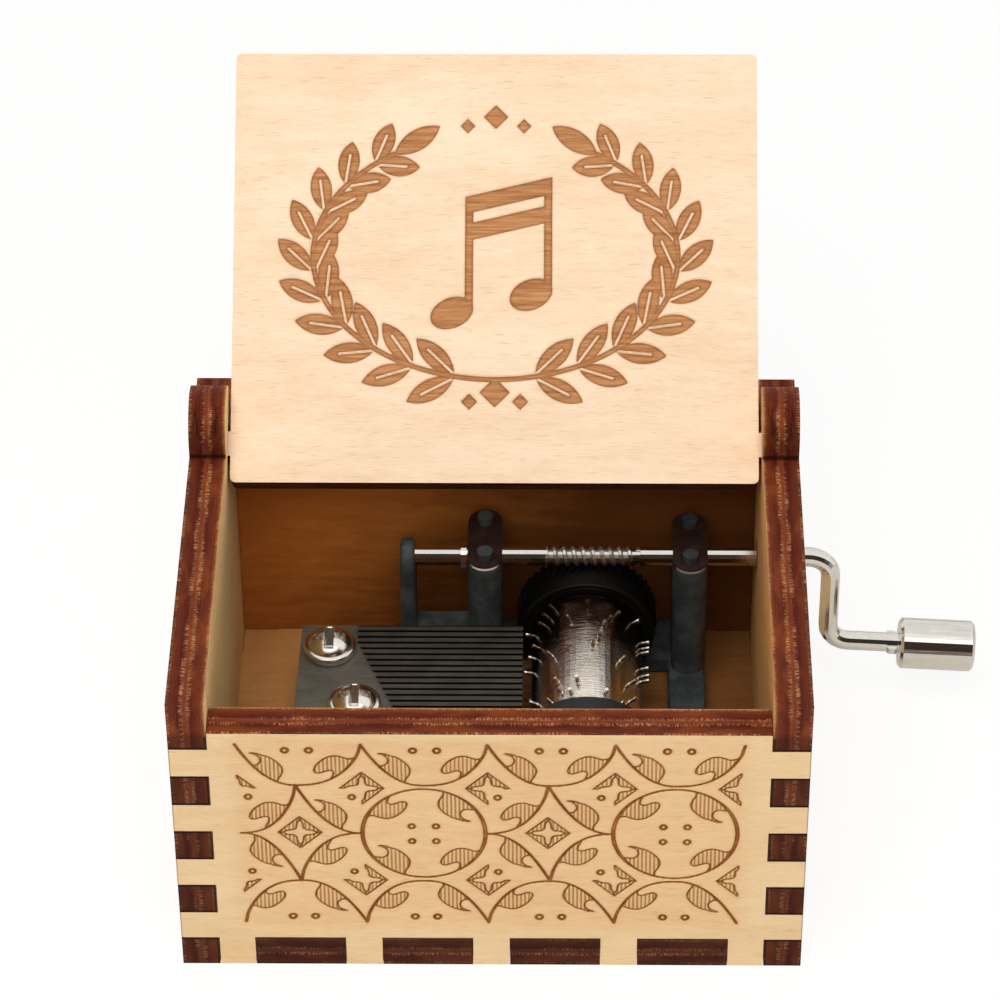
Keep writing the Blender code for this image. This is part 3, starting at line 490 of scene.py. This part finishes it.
def board(name, x, y, keep, sink, thickness, lay, fields):
    """A worked board as one closed mesh. Its face is the grid of lines x and y, in mm, less the cells not kept; each
    crossing lies sink under it. The rim of the kept cells is carried straight down to the far face, which is one
    many-sided face. lay turns (x, y, height) into places in metres, and fields are kept at the crossings."""
    across, down = np.meshgrid(x, y, indexing="ij")
    number = np.arange(across.size).reshape(across.shape)
    cells = np.stack([number[:-1, :-1], number[1:, :-1], number[1:, 1:], number[:-1, 1:]], -1)[keep]
    used, cells = np.unique(cells, return_inverse=True)
    cells = cells.reshape(-1, 4)
    corners = np.stack([across.ravel(), down.ravel(), -sink.ravel()], 1)[used]
    mesh = bpy.data.meshes.new(name)
    mesh.from_pydata(corners, [], cells)
    for field, values in fields.items():
        mesh.attributes.new(field, "FLOAT", "POINT").data.foreach_set("value", values.ravel()[used].astype(np.float32))
    shape = bmesh.new()
    shape.from_mesh(mesh)
    rim = [edge for edge in shape.edges if edge.is_boundary]
    drawn = bmesh.ops.extrude_edge_only(shape, edges=rim)["geom"]
    far = [part for part in drawn if isinstance(part, bmesh.types.BMVert)]
    for corner in far:
        corner.co.z = -thickness
    sealed(shape, mesh)
    places = np.zeros(len(mesh.vertices) * 3)
    mesh.vertices.foreach_get("co", places)
    mesh.vertices.foreach_set("co", lay(places.reshape(-1, 3)).ravel())
    smoothed(mesh, 72)
    mesh.update()
    return piece(name, mesh)


def to_front(p):
    """The front panel's place: its face looks forwards, and its height counts towards the front."""
    return np.stack([p[:, 0], -HALF_DEPTH - p[:, 2], p[:, 1]], 1) / 1000


def piece(name, mesh, *finishes):
    """An object for a mesh whose places are already in the frame, in metres."""
    made = bpy.data.objects.new(name, mesh)
    bpy.context.scene.collection.objects.link(made)
    for finished in finishes:
        mesh.materials.append(finished)
    return made


def dressed(made, finished, body, slot, *stands_for):
    """Finishes a piece: its material, its body, and the CAD nodes that it stands for; slot is not used."""
    made.data.materials.clear()
    made.data.materials.append(finished)
    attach(made, body)
    if stands_for:
        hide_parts(*stands_for)


finger_ends = [PLY + k * FINGER_PITCH + share for k in range(FINGERS) for share in (0.0, PALE_FINGER)]
tab = (2 * HALF_WIDTH - 2 * PLY - (TABS + 1) * TAB_GAP) / TABS
tab_lows = [-HALF_WIDTH + PLY + TAB_GAP + k * (tab + TAB_GAP) for k in range(TABS)]
sides = [-HALF_WIDTH, -HALF_WIDTH + NOTCH, HALF_WIDTH - NOTCH, HALF_WIDTH]
face_x = grid_lines(even_lines(*WORKED_X, GRID), sides, tab_lows, [low + tab for low in tab_lows])
face_z = grid_lines(even_lines(*WORKED_Z, GRID), [0.0, NOTCH, FRONT_TOP], finger_ends)
mid_x, mid_z = ((lines[1:] + lines[:-1]) / 2 for lines in (face_x, face_z))
in_finger = ((mid_z - PLY) % FINGER_PITCH < PALE_FINGER) & (mid_z > PLY)
in_tab = np.any([(mid_x > low) & (mid_x < low + tab) for low in tab_lows], axis=0)
keep = (np.abs(mid_x) < HALF_WIDTH - NOTCH)[:, None] | in_finger
keep &= ~(in_tab[:, None] & (mid_z < NOTCH))
face = Engraving(*np.meshgrid(face_x, face_z, indexing="ij"))
arabesque(face)
sunk = ENGRAVED * np.clip(0.5 - face.cut / CUT_WALL, 0, 1)
fields = {"cut": face.cut, "hatched": face.hatched}
engraved_front = board("engraved_front", face_x, face_z, keep, sunk, PLY, to_front, fields)


def arabesque_burn(wood, place, colour, rough, height):
    """The engraving's looks: lines dark at both edges and paler between, brown to red, upright hatching, and a warm
    haze over the whole pattern."""
    cut, hatched = wood.field("cut"), wood.field("hatched")
    x = place.along(RIGHT)
    soot = wood.cloud(place, 0.8, 3.0, 0.6)
    ragged = cut + (wood.cloud(place, 5.0) - 0.5) * 0.09
    hatch = abs(x.round_to(0.41) - 0.205).rise(0.125, 0.055) * hatched.rise(0.02, -0.08)
    line = ragged.rise(0.045, -0.055)
    ember = wood.mix(soot.rise(0.35, 0.65), (132, 80, 28), (112, 52, 14))
    ember = wood.mix(ragged.rise(-0.1, -0.2) * 0.6, ember, wood.mix(soot.rise(0.4, 0.6), (190, 136, 70), (150, 82, 36)))
    tint = (cut.rise(0.34, 0.0) * 0.22).most(hatched.rise(0.05, -0.1) * 0.25)
    colour = wood.mix(abs(x).rise(HALF_WIDTH - 0.16, HALF_WIDTH - 0.04) * 0.65, colour, (104, 64, 32))
    haze = abs(x).rise(27.2, 24.6) * abs(place.along(UP) - MIDDLE_ROW).rise(14.4, 12.2)
    colour = wood.mix(haze, colour, (252, 244, 237), "MULTIPLY")
    colour = wood.mix(tint, colour, (196, 146, 84))
    colour = wood.mix(hatch * (0.5 + soot * 0.5), colour, (148, 98, 40))
    return wood.mix(line * 0.95, colour, ember), rough, height * (1 - line) - hatch * 0.6


front_wood = plywood("birch_front", RIGHT, UP, BACK, -HALF_DEPTH, VENEER, floor_inside, engraving=arabesque_burn)
dressed(engraved_front, front_wood, "case", "plywood", "front_panel")

# Lid
# One plywood sheet on two small lugs of its own. The side that shows when it stands open is engraved by laser, wide
# and 0.3 mm deep, so the cut wood is brown with its grain standing out: a laurel of two sprays round beamed notes.
LEAN = math.radians(39.77)
PIVOT = np.array((0.0, 16.45, 34.675))
LID_UP, LID_OUT = (0.0, math.cos(LEAN), math.sin(LEAN)), (0.0, -math.sin(LEAN), math.cos(LEAN))
LID_HALF, LID_TAIL, LID_REACH, LID_CORNER = 27.86, -4.15, 42.5, 0.6
LUG_HALF, LUG_END = 1.3, 31.9
CARVED, CARVED_WALL = 0.3, 0.14
LID_GRID, CARVED_X, CARVED_Y = 0.14, (-24.6, 24.6), (2.6, 37.8)
CORNER_GRID = 0.12
LID_VENEER = ((243, 220, 194), (230, 200, 168))
WREATH = (0.0, 20.4, 19.4, 13.4)
STEM_HALF, RIB_HALF = 0.3, 0.12
LEAF_LONG, LEAF_HALF, LEAF_SPREAD, TIP_LEAF = 6.0, 1.15, 0.62, (4.9, 3.1)
NOTE_HEADS, NOTE_TILT, NOTE_WIDE, NOTE_HIGH = ((-4.6, 14.2), (3.8, 16.2)), 0.42, 2.4, 1.65
BEAM_SLOPE, BEAM_HALF, BEAM_DROPS = 0.238, 0.95, (0.0, 3.0)
LOZENGES = (
    (0.0, 5.6, 1.1), (-2.7, 4.6, 0.6), (2.7, 4.6, 0.6),
    (0.0, 35.6, 0.9), (-3.0, 34.6, 0.55), (3.0, 34.6, 0.55),
)  # fmt: skip


def lens(x, y, tail, tip, half):
    """The distance outside a pointed leaf: outside the worse of two circles through its tail and its tip."""
    (x0, y0), (x1, y1) = tail, tip
    length = math.hypot(x1 - x0, y1 - y0) / 2
    cx, cy, ux, uy = (x0 + x1) / 2, (y0 + y1) / 2, (x1 - x0) / 2 / length, (y1 - y0) / 2 / length
    along, off = (x - cx) * ux + (y - cy) * uy, np.abs((y - cy) * ux - (x - cx) * uy)
    radius = (length**2 + half**2) / (2 * half)
    return np.hypot(along, off + radius - half) - radius


def on_wreath(side, angle):
    """Places on the ellipse that the sprays follow, on its left half where side is -1."""
    cx, cy, wide, high = WREATH
    return np.stack([cx + side * wide * np.cos(angle), cy + high * np.sin(angle)], -1)


def laurel(x, y):
    """The lid's engraving as a distance outside it: two sprays on one ellipse, each leaf with its rib left bare, and
    two notes under a double beam, with small lozenges above and below."""
    far = 3.0
    found = np.full(x.shape, far)
    _, _, wide, high = WREATH
    spots = np.stack([x.ravel(), y.ravel()], 1)
    for side in (-1, 1):
        start, end = np.radians((-92, 56))
        thin = np.full(x.size, far)
        close = np.flatnonzero(np.abs(spots - (side * 11, 20)).max(1) < 21)
        thin[close] = to_line(spots[close], on_wreath(side, np.linspace(start, end, 70)), STEM_HALF)
        found = np.minimum(found, thin.reshape(x.shape))
        for number, at in enumerate(np.radians(np.linspace(-78, 48, 10))):
            foot = on_wreath(side, at)
            way = math.atan2(high * math.cos(at), -side * wide * math.sin(at))
            size = LEAF_LONG - 0.12 * number
            for spread in (-LEAF_SPREAD, LEAF_SPREAD):
                heading = np.array((math.cos(way + spread), math.sin(way + spread)))
                leaf = lens(x, y, foot + 0.3 * heading, foot + size * heading, LEAF_HALF)
                rib = np.abs((x - foot[0]) * heading[1] - (y - foot[1]) * heading[0]) - RIB_HALF
                short = (x - foot[0]) * heading[0] + (y - foot[1]) * heading[1] - 0.72 * size
                found = np.minimum(found, np.maximum(leaf, -np.maximum(rib, short)))
        foot, (aside, above) = on_wreath(side, end), TIP_LEAF
        found = np.minimum(found, lens(x, y, foot, foot + (-side * aside, above), LEAF_HALF))
    lean, rise = math.cos(NOTE_TILT), math.sin(NOTE_TILT)
    for x0, y0 in NOTE_HEADS:
        u, v = (x - x0) * lean + (y - y0) * rise, (y - y0) * lean - (x - x0) * rise
        head = (np.hypot(u / NOTE_WIDE, v / NOTE_HIGH) - 1) * NOTE_HIGH
        stem = np.maximum(np.abs(x - x0 - 1.8) - 0.45, np.abs(y - y0 - 6.3) - 6.4)
        found = np.minimum(found, np.minimum(head, stem))
    beam_at = 26.0 + BEAM_SLOPE * (x + 2.8)
    for drop in BEAM_DROPS:
        beam = np.maximum(np.abs(y - beam_at + drop) - BEAM_HALF, np.abs(x - 1.4) - 4.65)
        found = np.minimum(found, beam)
    for x0, y0, size in LOZENGES:
        found = np.minimum(found, (np.abs(x - x0) + np.abs(y - y0) - size * 1.5) / 1.414)
    return found


def to_lid(p):
    """Round corners, where a spot past the corner's own middle comes in from the square to the circle, then the
    sheet's place: its pivot is the axis of its lugs, half way through its thickness."""
    x, y = p[:, 0].copy(), p[:, 1].copy()
    start = LID_HALF - LID_CORNER
    for end, way in ((LID_TAIL + LID_CORNER, -1), (LID_REACH - LID_CORNER, 1)):
        over_x, over_y = np.abs(x) - start, (y - end) * way
        square = (over_x > 0) & (over_y > 0) & (np.abs(x) < LID_HALF + 0.01)
        shrink = np.maximum(over_x, over_y)[square] / np.hypot(over_x, over_y)[square]
        x[square] = np.sign(x[square]) * (start + over_x[square] * shrink)
        y[square] = end + way * over_y[square] * shrink
    height = p[:, 2] + PLY / 2
    return (PIVOT + np.outer(x, RIGHT) + np.outer(y, LID_UP) + np.outer(height, LID_OUT)) / 1000


rim_x = even_lines(LID_HALF - LID_CORNER, LID_HALF, CORNER_GRID)
tail_y = even_lines(LID_TAIL, LID_TAIL + LID_CORNER, CORNER_GRID)
reach_y = even_lines(LID_REACH - LID_CORNER, LID_REACH, CORNER_GRID)
lid_x = grid_lines(even_lines(*CARVED_X, LID_GRID), -rim_x, rim_x, [-LUG_END, LUG_END])
lid_y = grid_lines(even_lines(*CARVED_Y, LID_GRID), tail_y, reach_y, [-LUG_HALF, LUG_HALF])
mid_x, mid_y = ((lines[1:] + lines[:-1]) / 2 for lines in (lid_x, lid_y))
keep = (np.abs(mid_x) < LID_HALF)[:, None] | (np.abs(mid_y) < LUG_HALF)
carving = laurel(*np.meshgrid(lid_x, lid_y, indexing="ij"))
sunk = CARVED * np.clip(0.5 - carving / CARVED_WALL, 0, 1)
lid = board("engraved_lid", lid_x, lid_y, keep, sunk, PLY, to_lid, {"carved": carving})


def laurel_burn_and_shade(wood, place, colour, rough, height):
    """Wide engraving: the wood under the veneer's skin, toasted brown, its grain standing out, and painted shade darker
    at the foot of all its walls."""
    carved = wood.field("carved")
    x, y = place.along(RIGHT), place.along(LID_UP)
    inside = carved.rise(0.04, -0.06)
    grain = wood.cloud(wood.spot(x * 0.14, y * 2.4, 3.0), 1.0, 5.0, 0.7)
    rows = wood.cloud(wood.spot(x * 0.02, y * 8.0, 7.0), 1.0, 0.0)
    toast = wood.mix(grain.rise(0.3, 0.72), (208, 154, 106), (164, 108, 66))
    toast = wood.mix(rows.rise(0.4, 0.8) * 0.25, toast, (150, 96, 58))
    # Painted shade at the foot of the engraving's walls.
    toast = wood.mix(carved.rise(-0.35, 0.0) * 0.5, toast, (126, 74, 42))
    colour = wood.mix(carved.rise(0.3, 0.02) * 0.12, colour, (196, 146, 84))
    return wood.mix(inside, colour, toast), rough + inside * 0.15, height * (1 + inside * 2.5)


def shaded_tail(wood, place, normal):
    """Painted shade on the edge that hangs into the box, which faces down."""
    return normal.along(LID_UP).rise(-0.4, -0.9) * 0.6


inward = tuple(-part for part in LID_OUT)
skin = -float(PIVOT @ LID_OUT) - PLY / 2
outside = inner_veneer(*VENEER)
lid_wood = plywood("birch_lid", RIGHT, LID_UP, inward, skin, LID_VENEER, outside, shaded_tail, laurel_burn_and_shade)
dressed(lid, lid_wood, "lid", "plywood", "lid")
lid.visible_glossy = False

# Movement frame and shaft plates
# One zinc die casting, blackened blue-grey with a fine matt skin, screwed to the bottom. Two stamped steel plates,
# blackened too, with a painted highlight where their rims face the front, hold the crank's shaft down on its posts.
PLATE_TOP = 21.8


def casting():
    """Cast metal with a blackened skin: cloudy tone, fine pits, and painted shade that darkens it towards the front."""
    made, metal, place = finish("blackened_casting")
    mottle, pits = metal.cloud(place, 0.55, 4.0, 0.6), metal.cloud(place, 9.0)
    tone = metal.mix(mottle.rise(0.35, 0.7), (52, 57, 58), (73, 80, 81))
    # Painted shade: darker towards the front.
    tone = metal.mix(place.along(BACK).rise(0.5, -5.0) * 0.85, tone, (26, 31, 30))
    metal.surface(Base_Color=tone, Metallic=0.3, Roughness=0.4 + mottle * 0.16, Normal=metal.relief(pits, 0.00003))
    return made


def stamped_plate():
    """Blackened flats, with a painted highlight on the rim where it faces the front, less on the right plate."""
    made, metal, place = finish("blackened_plate")
    normal = metal.node("TexCoord", output=1)
    flat = abs(normal.along(UP)).rise(0.4, 0.6).most(place.along(UP).rise(PLATE_TOP - 0.06, PLATE_TOP))
    # Painted highlight: a pale colour where the rim faces the front, weaker on the right plate.
    away = normal.along(BACK).rise(-0.85, -0.5).most(place.along(RIGHT).rise(5.0, 8.0) * 0.65)
    black = flat.most(away)
    mottle = metal.cloud(place, 0.8, 4.0, 0.6)
    skin = metal.mix(mottle.rise(0.35, 0.7), (34, 21, 16), (52, 34, 26))
    metal.surface(
        Base_Color=metal.mix(black, (232, 228, 220), skin),
        Metallic=black * 0.1 + 0.1,
        Roughness=0.3 + mottle * 0.15,
        Normal=metal.relief(mottle, 0.00002),
    )
    return made


wear(casting(), "movement_frame")
wear(stamped_plate(), "shaft_plate_left", "shaft_plate_right")

# Comb
# Hardened steel ground flat, dark grey with the grinding's lines along the teeth, each tooth parted by a thin saw
# cut. Two screws clamp it to the frame.
TOOTH_PITCH = 0.917
COMB_BACK = 11.45
LONG_ROOT, LONG_TEETH, ROOT_SLANT = 14.9, 3.0, 0.366


def ground_steel():
    """Steel ground along X, a noise drawn out far along it. Beside each saw cut the tooth's edge is painted black as
    the cut's shade, and the teeth are darker than the body as painted shade; the cuts run to roots that lie on a slant."""
    made, metal, place = finish("ground_comb_steel")
    x, y, z = (place.along(way) for way in (RIGHT, BACK, UP))
    lines = metal.cloud(metal.spot(x * 0.25, y * 14.0, z * 8.0), 1.0, 2.0, 0.6)
    cloudy = metal.cloud(place, 0.35, 3.0)
    tone = metal.mix((lines * 0.6 + cloudy * 0.6).rise(0.4, 0.8), (92, 89, 80), (118, 114, 104))
    number = (COMB_BACK - y) / TOOTH_PITCH
    gap_shade = abs((number + 0.5).round_to(1.0) - 0.5).rise(0.24, 0.17)
    root = (number - LONG_TEETH).most(0.0) * ROOT_SLANT - LONG_ROOT
    cut = gap_shade * (x - root).rise(-0.1, 0.2)
    # Painted shade: black beside each saw cut, and darker over the teeth.
    tone = metal.mix(cut.most((x - root).rise(-0.5, 0.5) * 0.45), tone, (22, 21, 19))
    metal.surface(Base_Color=tone, Metallic=0.6, Roughness=0.36 + lines * 0.2, Normal=metal.relief(lines, 0.00002))
    return made


wear(ground_steel(), "comb")

# Comb screws
# Nickel-plated pan heads on wide flanges, each with a deep cross for the driver whose floor climbs steeply from the
# middle out to the dome.
COMB_SCREWS = {"rear": (-17.75, 7.55), "front": (-14.76, -1.5)}
COMB_TOP = 13.8
HEAD_TOP, DOME, DOME_EDGE = 2.3, 3.0, 2.2
FLANGE = (
    (2.29, 1.2), (2.3, 1.06), (2.34, 1.0), (2.56, 0.97), (2.7, 0.93), (2.79, 0.84), (2.82, 0.7), (2.82, 0.26),
    (2.76, 0.1), (2.6, 0.0), (2.0, 0.0),
)  # fmt: skip
CROSS_HALF, CROSS_WALL, CROSS_FLOOR, CROSS_CLIMB, CROSS_FLAT = 0.47, 0.07, 0.15, 1.12, 0.35


def plating(name, colour, light, shine, lines=None, dull=None):
    """Bright plating: faint clouds in its shine and, where lines gives its axes' scales, turning marks. dull, given
    the wire and the place, is roughness on top."""
    made, metal, place = finish(name)
    cloudy = metal.cloud(place, 0.8, 3.0, 0.6)
    scales = zip((RIGHT, BACK, UP), lines or (6, 6, 6))
    fine = metal.cloud(metal.spot(*(place.along(way) * scale for way, scale in scales)))
    tone = metal.mix((cloudy * 0.4 + fine * 0.6).rise(0.3, 0.75), colour, light)
    rough = cloudy * 0.03 + fine * 0.05 + (dull(metal, place) + shine if dull else shine)
    metal.surface(Base_Color=tone, Metallic=1.0, Roughness=rough, Normal=metal.relief(fine, 0.000004))
    return made


def screw_head(name, x0, y0):
    """A head as one turned grid: its profile's radius and height go round, and the cross is pressed into the dome
    where a spot lies between its walls, to a floor that climbs with the distance from the middle."""
    reach = np.append(0.0, np.linspace(0.1, DOME_EDGE, 36))
    dome = np.stack([reach, HEAD_TOP - DOME + np.sqrt(DOME**2 - reach**2)], 1)
    profile = np.concatenate([dome, FLANGE])
    turn = np.linspace(0, math.tau, 240, endpoint=False)
    radius, around = np.meshgrid(profile[:, 0], turn, indexing="ij")
    height = np.repeat(profile[:, 1:], len(turn), 1)
    x, y = radius * np.cos(around), radius * np.sin(around)
    off, out = np.minimum(np.abs(x), np.abs(y)), np.maximum(np.abs(x), np.abs(y))
    floor = CROSS_FLOOR + CROSS_CLIMB * np.maximum(out - CROSS_FLAT, 0)
    sunk = np.clip((CROSS_HALF - off) / CROSS_WALL + 0.5, 0, 1) * (height - floor)
    height = np.where(radius < DOME_EDGE, height - np.maximum(sunk, 0), height)
    corners = np.stack([x0 + x, y0 + y, COMB_TOP + height], -1).reshape(-1, 3) / 1000
    number = np.arange(len(corners)).reshape(x.shape)
    following = np.roll(number, -1, 1)
    quads = np.stack([number[:-1], number[1:], following[1:], following[:-1]], -1).reshape(-1, 4)
    mesh = bpy.data.meshes.new(name)
    mesh.from_pydata(corners, [], quads)
    shape = bmesh.new()
    shape.from_mesh(mesh)
    bmesh.ops.remove_doubles(shape, verts=shape.verts, dist=1e-7)
    sealed(shape, mesh)
    smoothed(mesh, 34)
    return piece(name, mesh)


plated = plating("plated_screws", (226, 221, 212), (240, 237, 230), 0.13)
for where, (x, y) in COMB_SCREWS.items():
    dressed(screw_head(f"cross_screw_{where}", x, y), plated, "case", "nickel", f"comb_screw_{where}")

# Pinned cylinder
# A thin plated steel tube with steel pins pressed through it and ground to one height, fixed on its arbor by a brass
# cap in front and the wheel behind. Its rear end is painted dark brown, sooner at the sides, as a painted reflection.
AXIS_X, AXIS_Z = 9.9, 12.0
TUBE, PIN_TIP = 6.02, 6.7


def round_axis(bare, place):
    """How far a place is from the cylinder's axis, and its turn round it in radians."""
    x, z = place.along(RIGHT) - AXIS_X, place.along(UP) - AXIS_Z
    return (x * x + z * z) ** 0.5, bare.maths("ARCTAN2", z, x)


def cylinder_plating():
    """Plating with turning marks, a painted dark reflection on its rear end ragged along them, and bright steel on the
    pins.
    """
    made, metal, place = finish("plated_cylinder")
    radius, turn = round_axis(metal, place)
    y = place.along(BACK)
    marks = metal.cloud(metal.spot(turn * 1.6, y * 6.0, 1.0), 1.0, 3.0, 0.7)
    fine = metal.cloud(metal.spot(turn * 0.8, y * 26.0, 4.0), 1.0, 1.0)
    stains = metal.cloud(place, 0.5, 3.0, 0.6)
    pin, tip = radius.rise(TUBE, TUBE + 0.06), radius.rise(PIN_TIP - 0.2, PIN_TIP)
    tone = metal.mix(stains.rise(0.35, 0.7), (246, 233, 215), (255, 248, 237))
    ragged = metal.cloud(metal.spot(turn * 3.0, y * 3.0, 7.0), 1.0, 3.0, 0.7)
    # Painted reflection: the rear end, sooner at the sides, darkened brown.
    painted_dark_reflection = (y + (ragged - 0.5) * 9.0 + abs(place.along(RIGHT) - AXIS_X) * 0.8).rise(6.2, 9.4)
    tone = metal.mix(painted_dark_reflection * 0.9, tone, (82, 48, 34))
    tone = metal.mix(pin, tone, metal.mix(tip, (164, 154, 142), (246, 243, 238)))
    metal.surface(
        Base_Color=tone,
        Metallic=1.0,
        Roughness=(0.12 + marks * 0.08) * (1 - pin) + pin * 0.12,
        Normal=metal.relief((marks * 0.85 + fine * 0.15) * (1 - pin), 0.000025),
    )
    return made


wear(cylinder_plating(), "pinned_cylinder")
wear(plating("drawn_arbor_steel", (188, 186, 182), (210, 208, 204), 0.2, (3, 0.4, 3)), "cylinder_arbor")
wear(plating("turned_brass", (186, 148, 84), (206, 172, 108), 0.22, (9, 2, 9)), "cylinder_end_cap")

# Worm wheel
# Moulded black nylon on the cylinder's rear end, with slanted teeth that the worm drives. Rings turned in its mould
# stand on its front flange.


def nylon():
    """Near-black plastic; the relief is a wave of its distance from the axis."""
    made, plastic, place = finish("black_nylon")
    radius, _ = round_axis(plastic, place)
    rings = plastic.maths("SINE", radius * 8.5) * 0.5 + 0.5
    skin = plastic.cloud(place, 3.0, 3.0, 0.6)
    plastic.surface(
        Base_Color=plastic.mix(skin, (5, 5, 5), (12, 12, 11)),
        Roughness=0.3 + skin * 0.2,
        Specular_IOR_Level=0.22,
        Normal=plastic.relief(rings * 0.8 + skin * 0.2, 0.00009),
    )
    return made


wear(nylon(), "worm_wheel")

# Crank and knob
# Steel wire bent twice and nickel plated, with the worm rolled into it, and a turned nickel-plated knob that is free
# to spin on its end.
WORM_HALF = 4.7


def duller_worm(metal, place):
    """Roughness on top over the worm's length, left dull by its rolling."""
    return abs(place.along(RIGHT) - AXIS_X).rise(WORM_HALF, WORM_HALF - 0.4) * 0.3


polished_wire = plating("polished_nickel", (214, 210, 202), (230, 227, 220), 0.07, dull=duller_worm)
wear(polished_wire, "crank_shaft")
wear(plating("turned_nickel", (212, 208, 200), (226, 222, 215), 0.08, (0.1, 5, 5)), "crank_knob")

# Frame screws
# Yellow zinc-plated steel screws with flush heads, driven up through the bottom panel into the frame's three feet.
yellow_zinc = plating("yellow_zinc", (190, 172, 122), (210, 196, 150), 0.28)
wear(yellow_zinc, "frame_screw_left", "frame_screw_rear", "frame_screw_right")

# Studio
# A white sweep under a soft overhead lamp and a white surround. In what metal mirrors, the camera's side is dark,
# as in a real studio, with a bright bank above it; for everything else the surround is plain.
CAMERA = (0.006817, -0.349409, 0.338399)
YAW, PITCH, ROLL = math.radians(-0.985), math.radians(40.362), math.radians(-0.467)
LENS, SENSOR = 161.66, 36.0
AIM = (0.0, 0.0, 0.02)
FILLS = {"left_fill": (-0.7, 0.0, 0.04), "right_fill": (0.7, 0.0, 0.04), "rear_fill": (0.0, 0.7, 0.04)}
SWEEP = 3.0

forward = np.array((math.sin(YAW) * math.cos(PITCH), math.cos(YAW) * math.cos(PITCH), -math.sin(PITCH)))
level = np.array((math.cos(YAW), -math.sin(YAW), 0.0))
upright = np.cross(level, forward)
right = math.cos(ROLL) * level + math.sin(ROLL) * upright
top = math.cos(ROLL) * upright - math.sin(ROLL) * level
camera = bpy.data.objects.new("camera", bpy.data.cameras.new("camera"))
camera.matrix_world = Matrix.Translation(CAMERA) @ Matrix(np.stack([right, top, -forward], 1).tolist()).to_4x4()
camera.data.sensor_width, camera.data.lens = SENSOR, LENS
camera.data.clip_start, camera.data.clip_end = 0.02, 20.0
bpy.context.scene.collection.objects.link(camera)
bpy.context.scene.camera = camera


def lamp(name, place, size, watts, colour=(255, 250, 242)):
    """A square soft lamp, aimed at the box, that metal doesn't mirror: the surround is what it mirrors."""
    light = bpy.data.lights.new(name, "AREA")
    light.energy, light.size, light.color = watts, size, paint(colour)[:3]
    made = bpy.data.objects.new(name, light)
    away = Vector(place) - Vector(AIM)
    made.matrix_world = Matrix.Translation(place) @ away.to_track_quat("Z", "Y").to_matrix().to_4x4()
    made.visible_glossy = False
    bpy.context.scene.collection.objects.link(made)


lamp("overhead_softbox", (-0.06, -0.36, 0.68), 0.45, 4.3)
lamp("front_fill", (-0.06, -0.80, 0.30), 0.5, 1.35)
for name, place in FILLS.items():
    lamp(name, place, 0.2, 1.5)

surround = bpy.data.worlds.new("surround")
surround.use_nodes = True
surround.node_tree.nodes.clear()
sky = Wire(surround.node_tree)
way = sky.node("TexCoord", output=0)
seen = sky.node("LightPath", output=0)
mirrored = sky.node("LightPath", output=3).most(sky.node("LightPath", output=6))
up, back = way.along(UP), way.along(BACK)
in_front = back.rise(-0.1, -0.35)
dark_front = in_front * up.rise(0.80, 0.72) * (0.95 - up.rise(0.35, 0.0) * 0.15)
behind = back.rise(0.1, 0.3) * up.rise(0.93, 0.88) * 0.04
bank = in_front * up.rise(0.78, 0.82) * up.rise(0.97, 0.91) * 0.8
in_mirror = 1 - dark_front.most(behind) + bank
strength = seen.most(mirrored * in_mirror).most((1 - mirrored) * 0.34)
tint = sky.mix(dark_front * mirrored, (255, 255, 255), (255, 216, 190))
lit = sky.node("Background", (), {"Color": tint, "Strength": strength})
sky.node("OutputWorld", (), {"Surface": lit})
bpy.context.scene.world = surround

sweep, white, _ = finish("white_sweep")
shown = white.node("LightPath", output=0)
paper = white.node("BsdfDiffuse", (), {"Color": paint((228, 228, 228))})
glow = white.node("Emission", (), {"Color": paint((255, 255, 255)), "Strength": 1.05})
blend = white.node("MixShader", (), {0: shown * 0.84, 1: paper, 2: glow})
white.node("OutputMaterial", (), {"Surface": blend})
ground = bpy.data.meshes.new("sweep")
corners = [(x * SWEEP, y * SWEEP, 0) for x, y in ((-1, -1), (1, -1), (1, 1), (-1, 1))]
ground.from_pydata(corners, [], [(0, 1, 2, 3)])
piece("sweep", ground, sweep)

bpy.context.scene.view_settings.view_transform = "Standard"
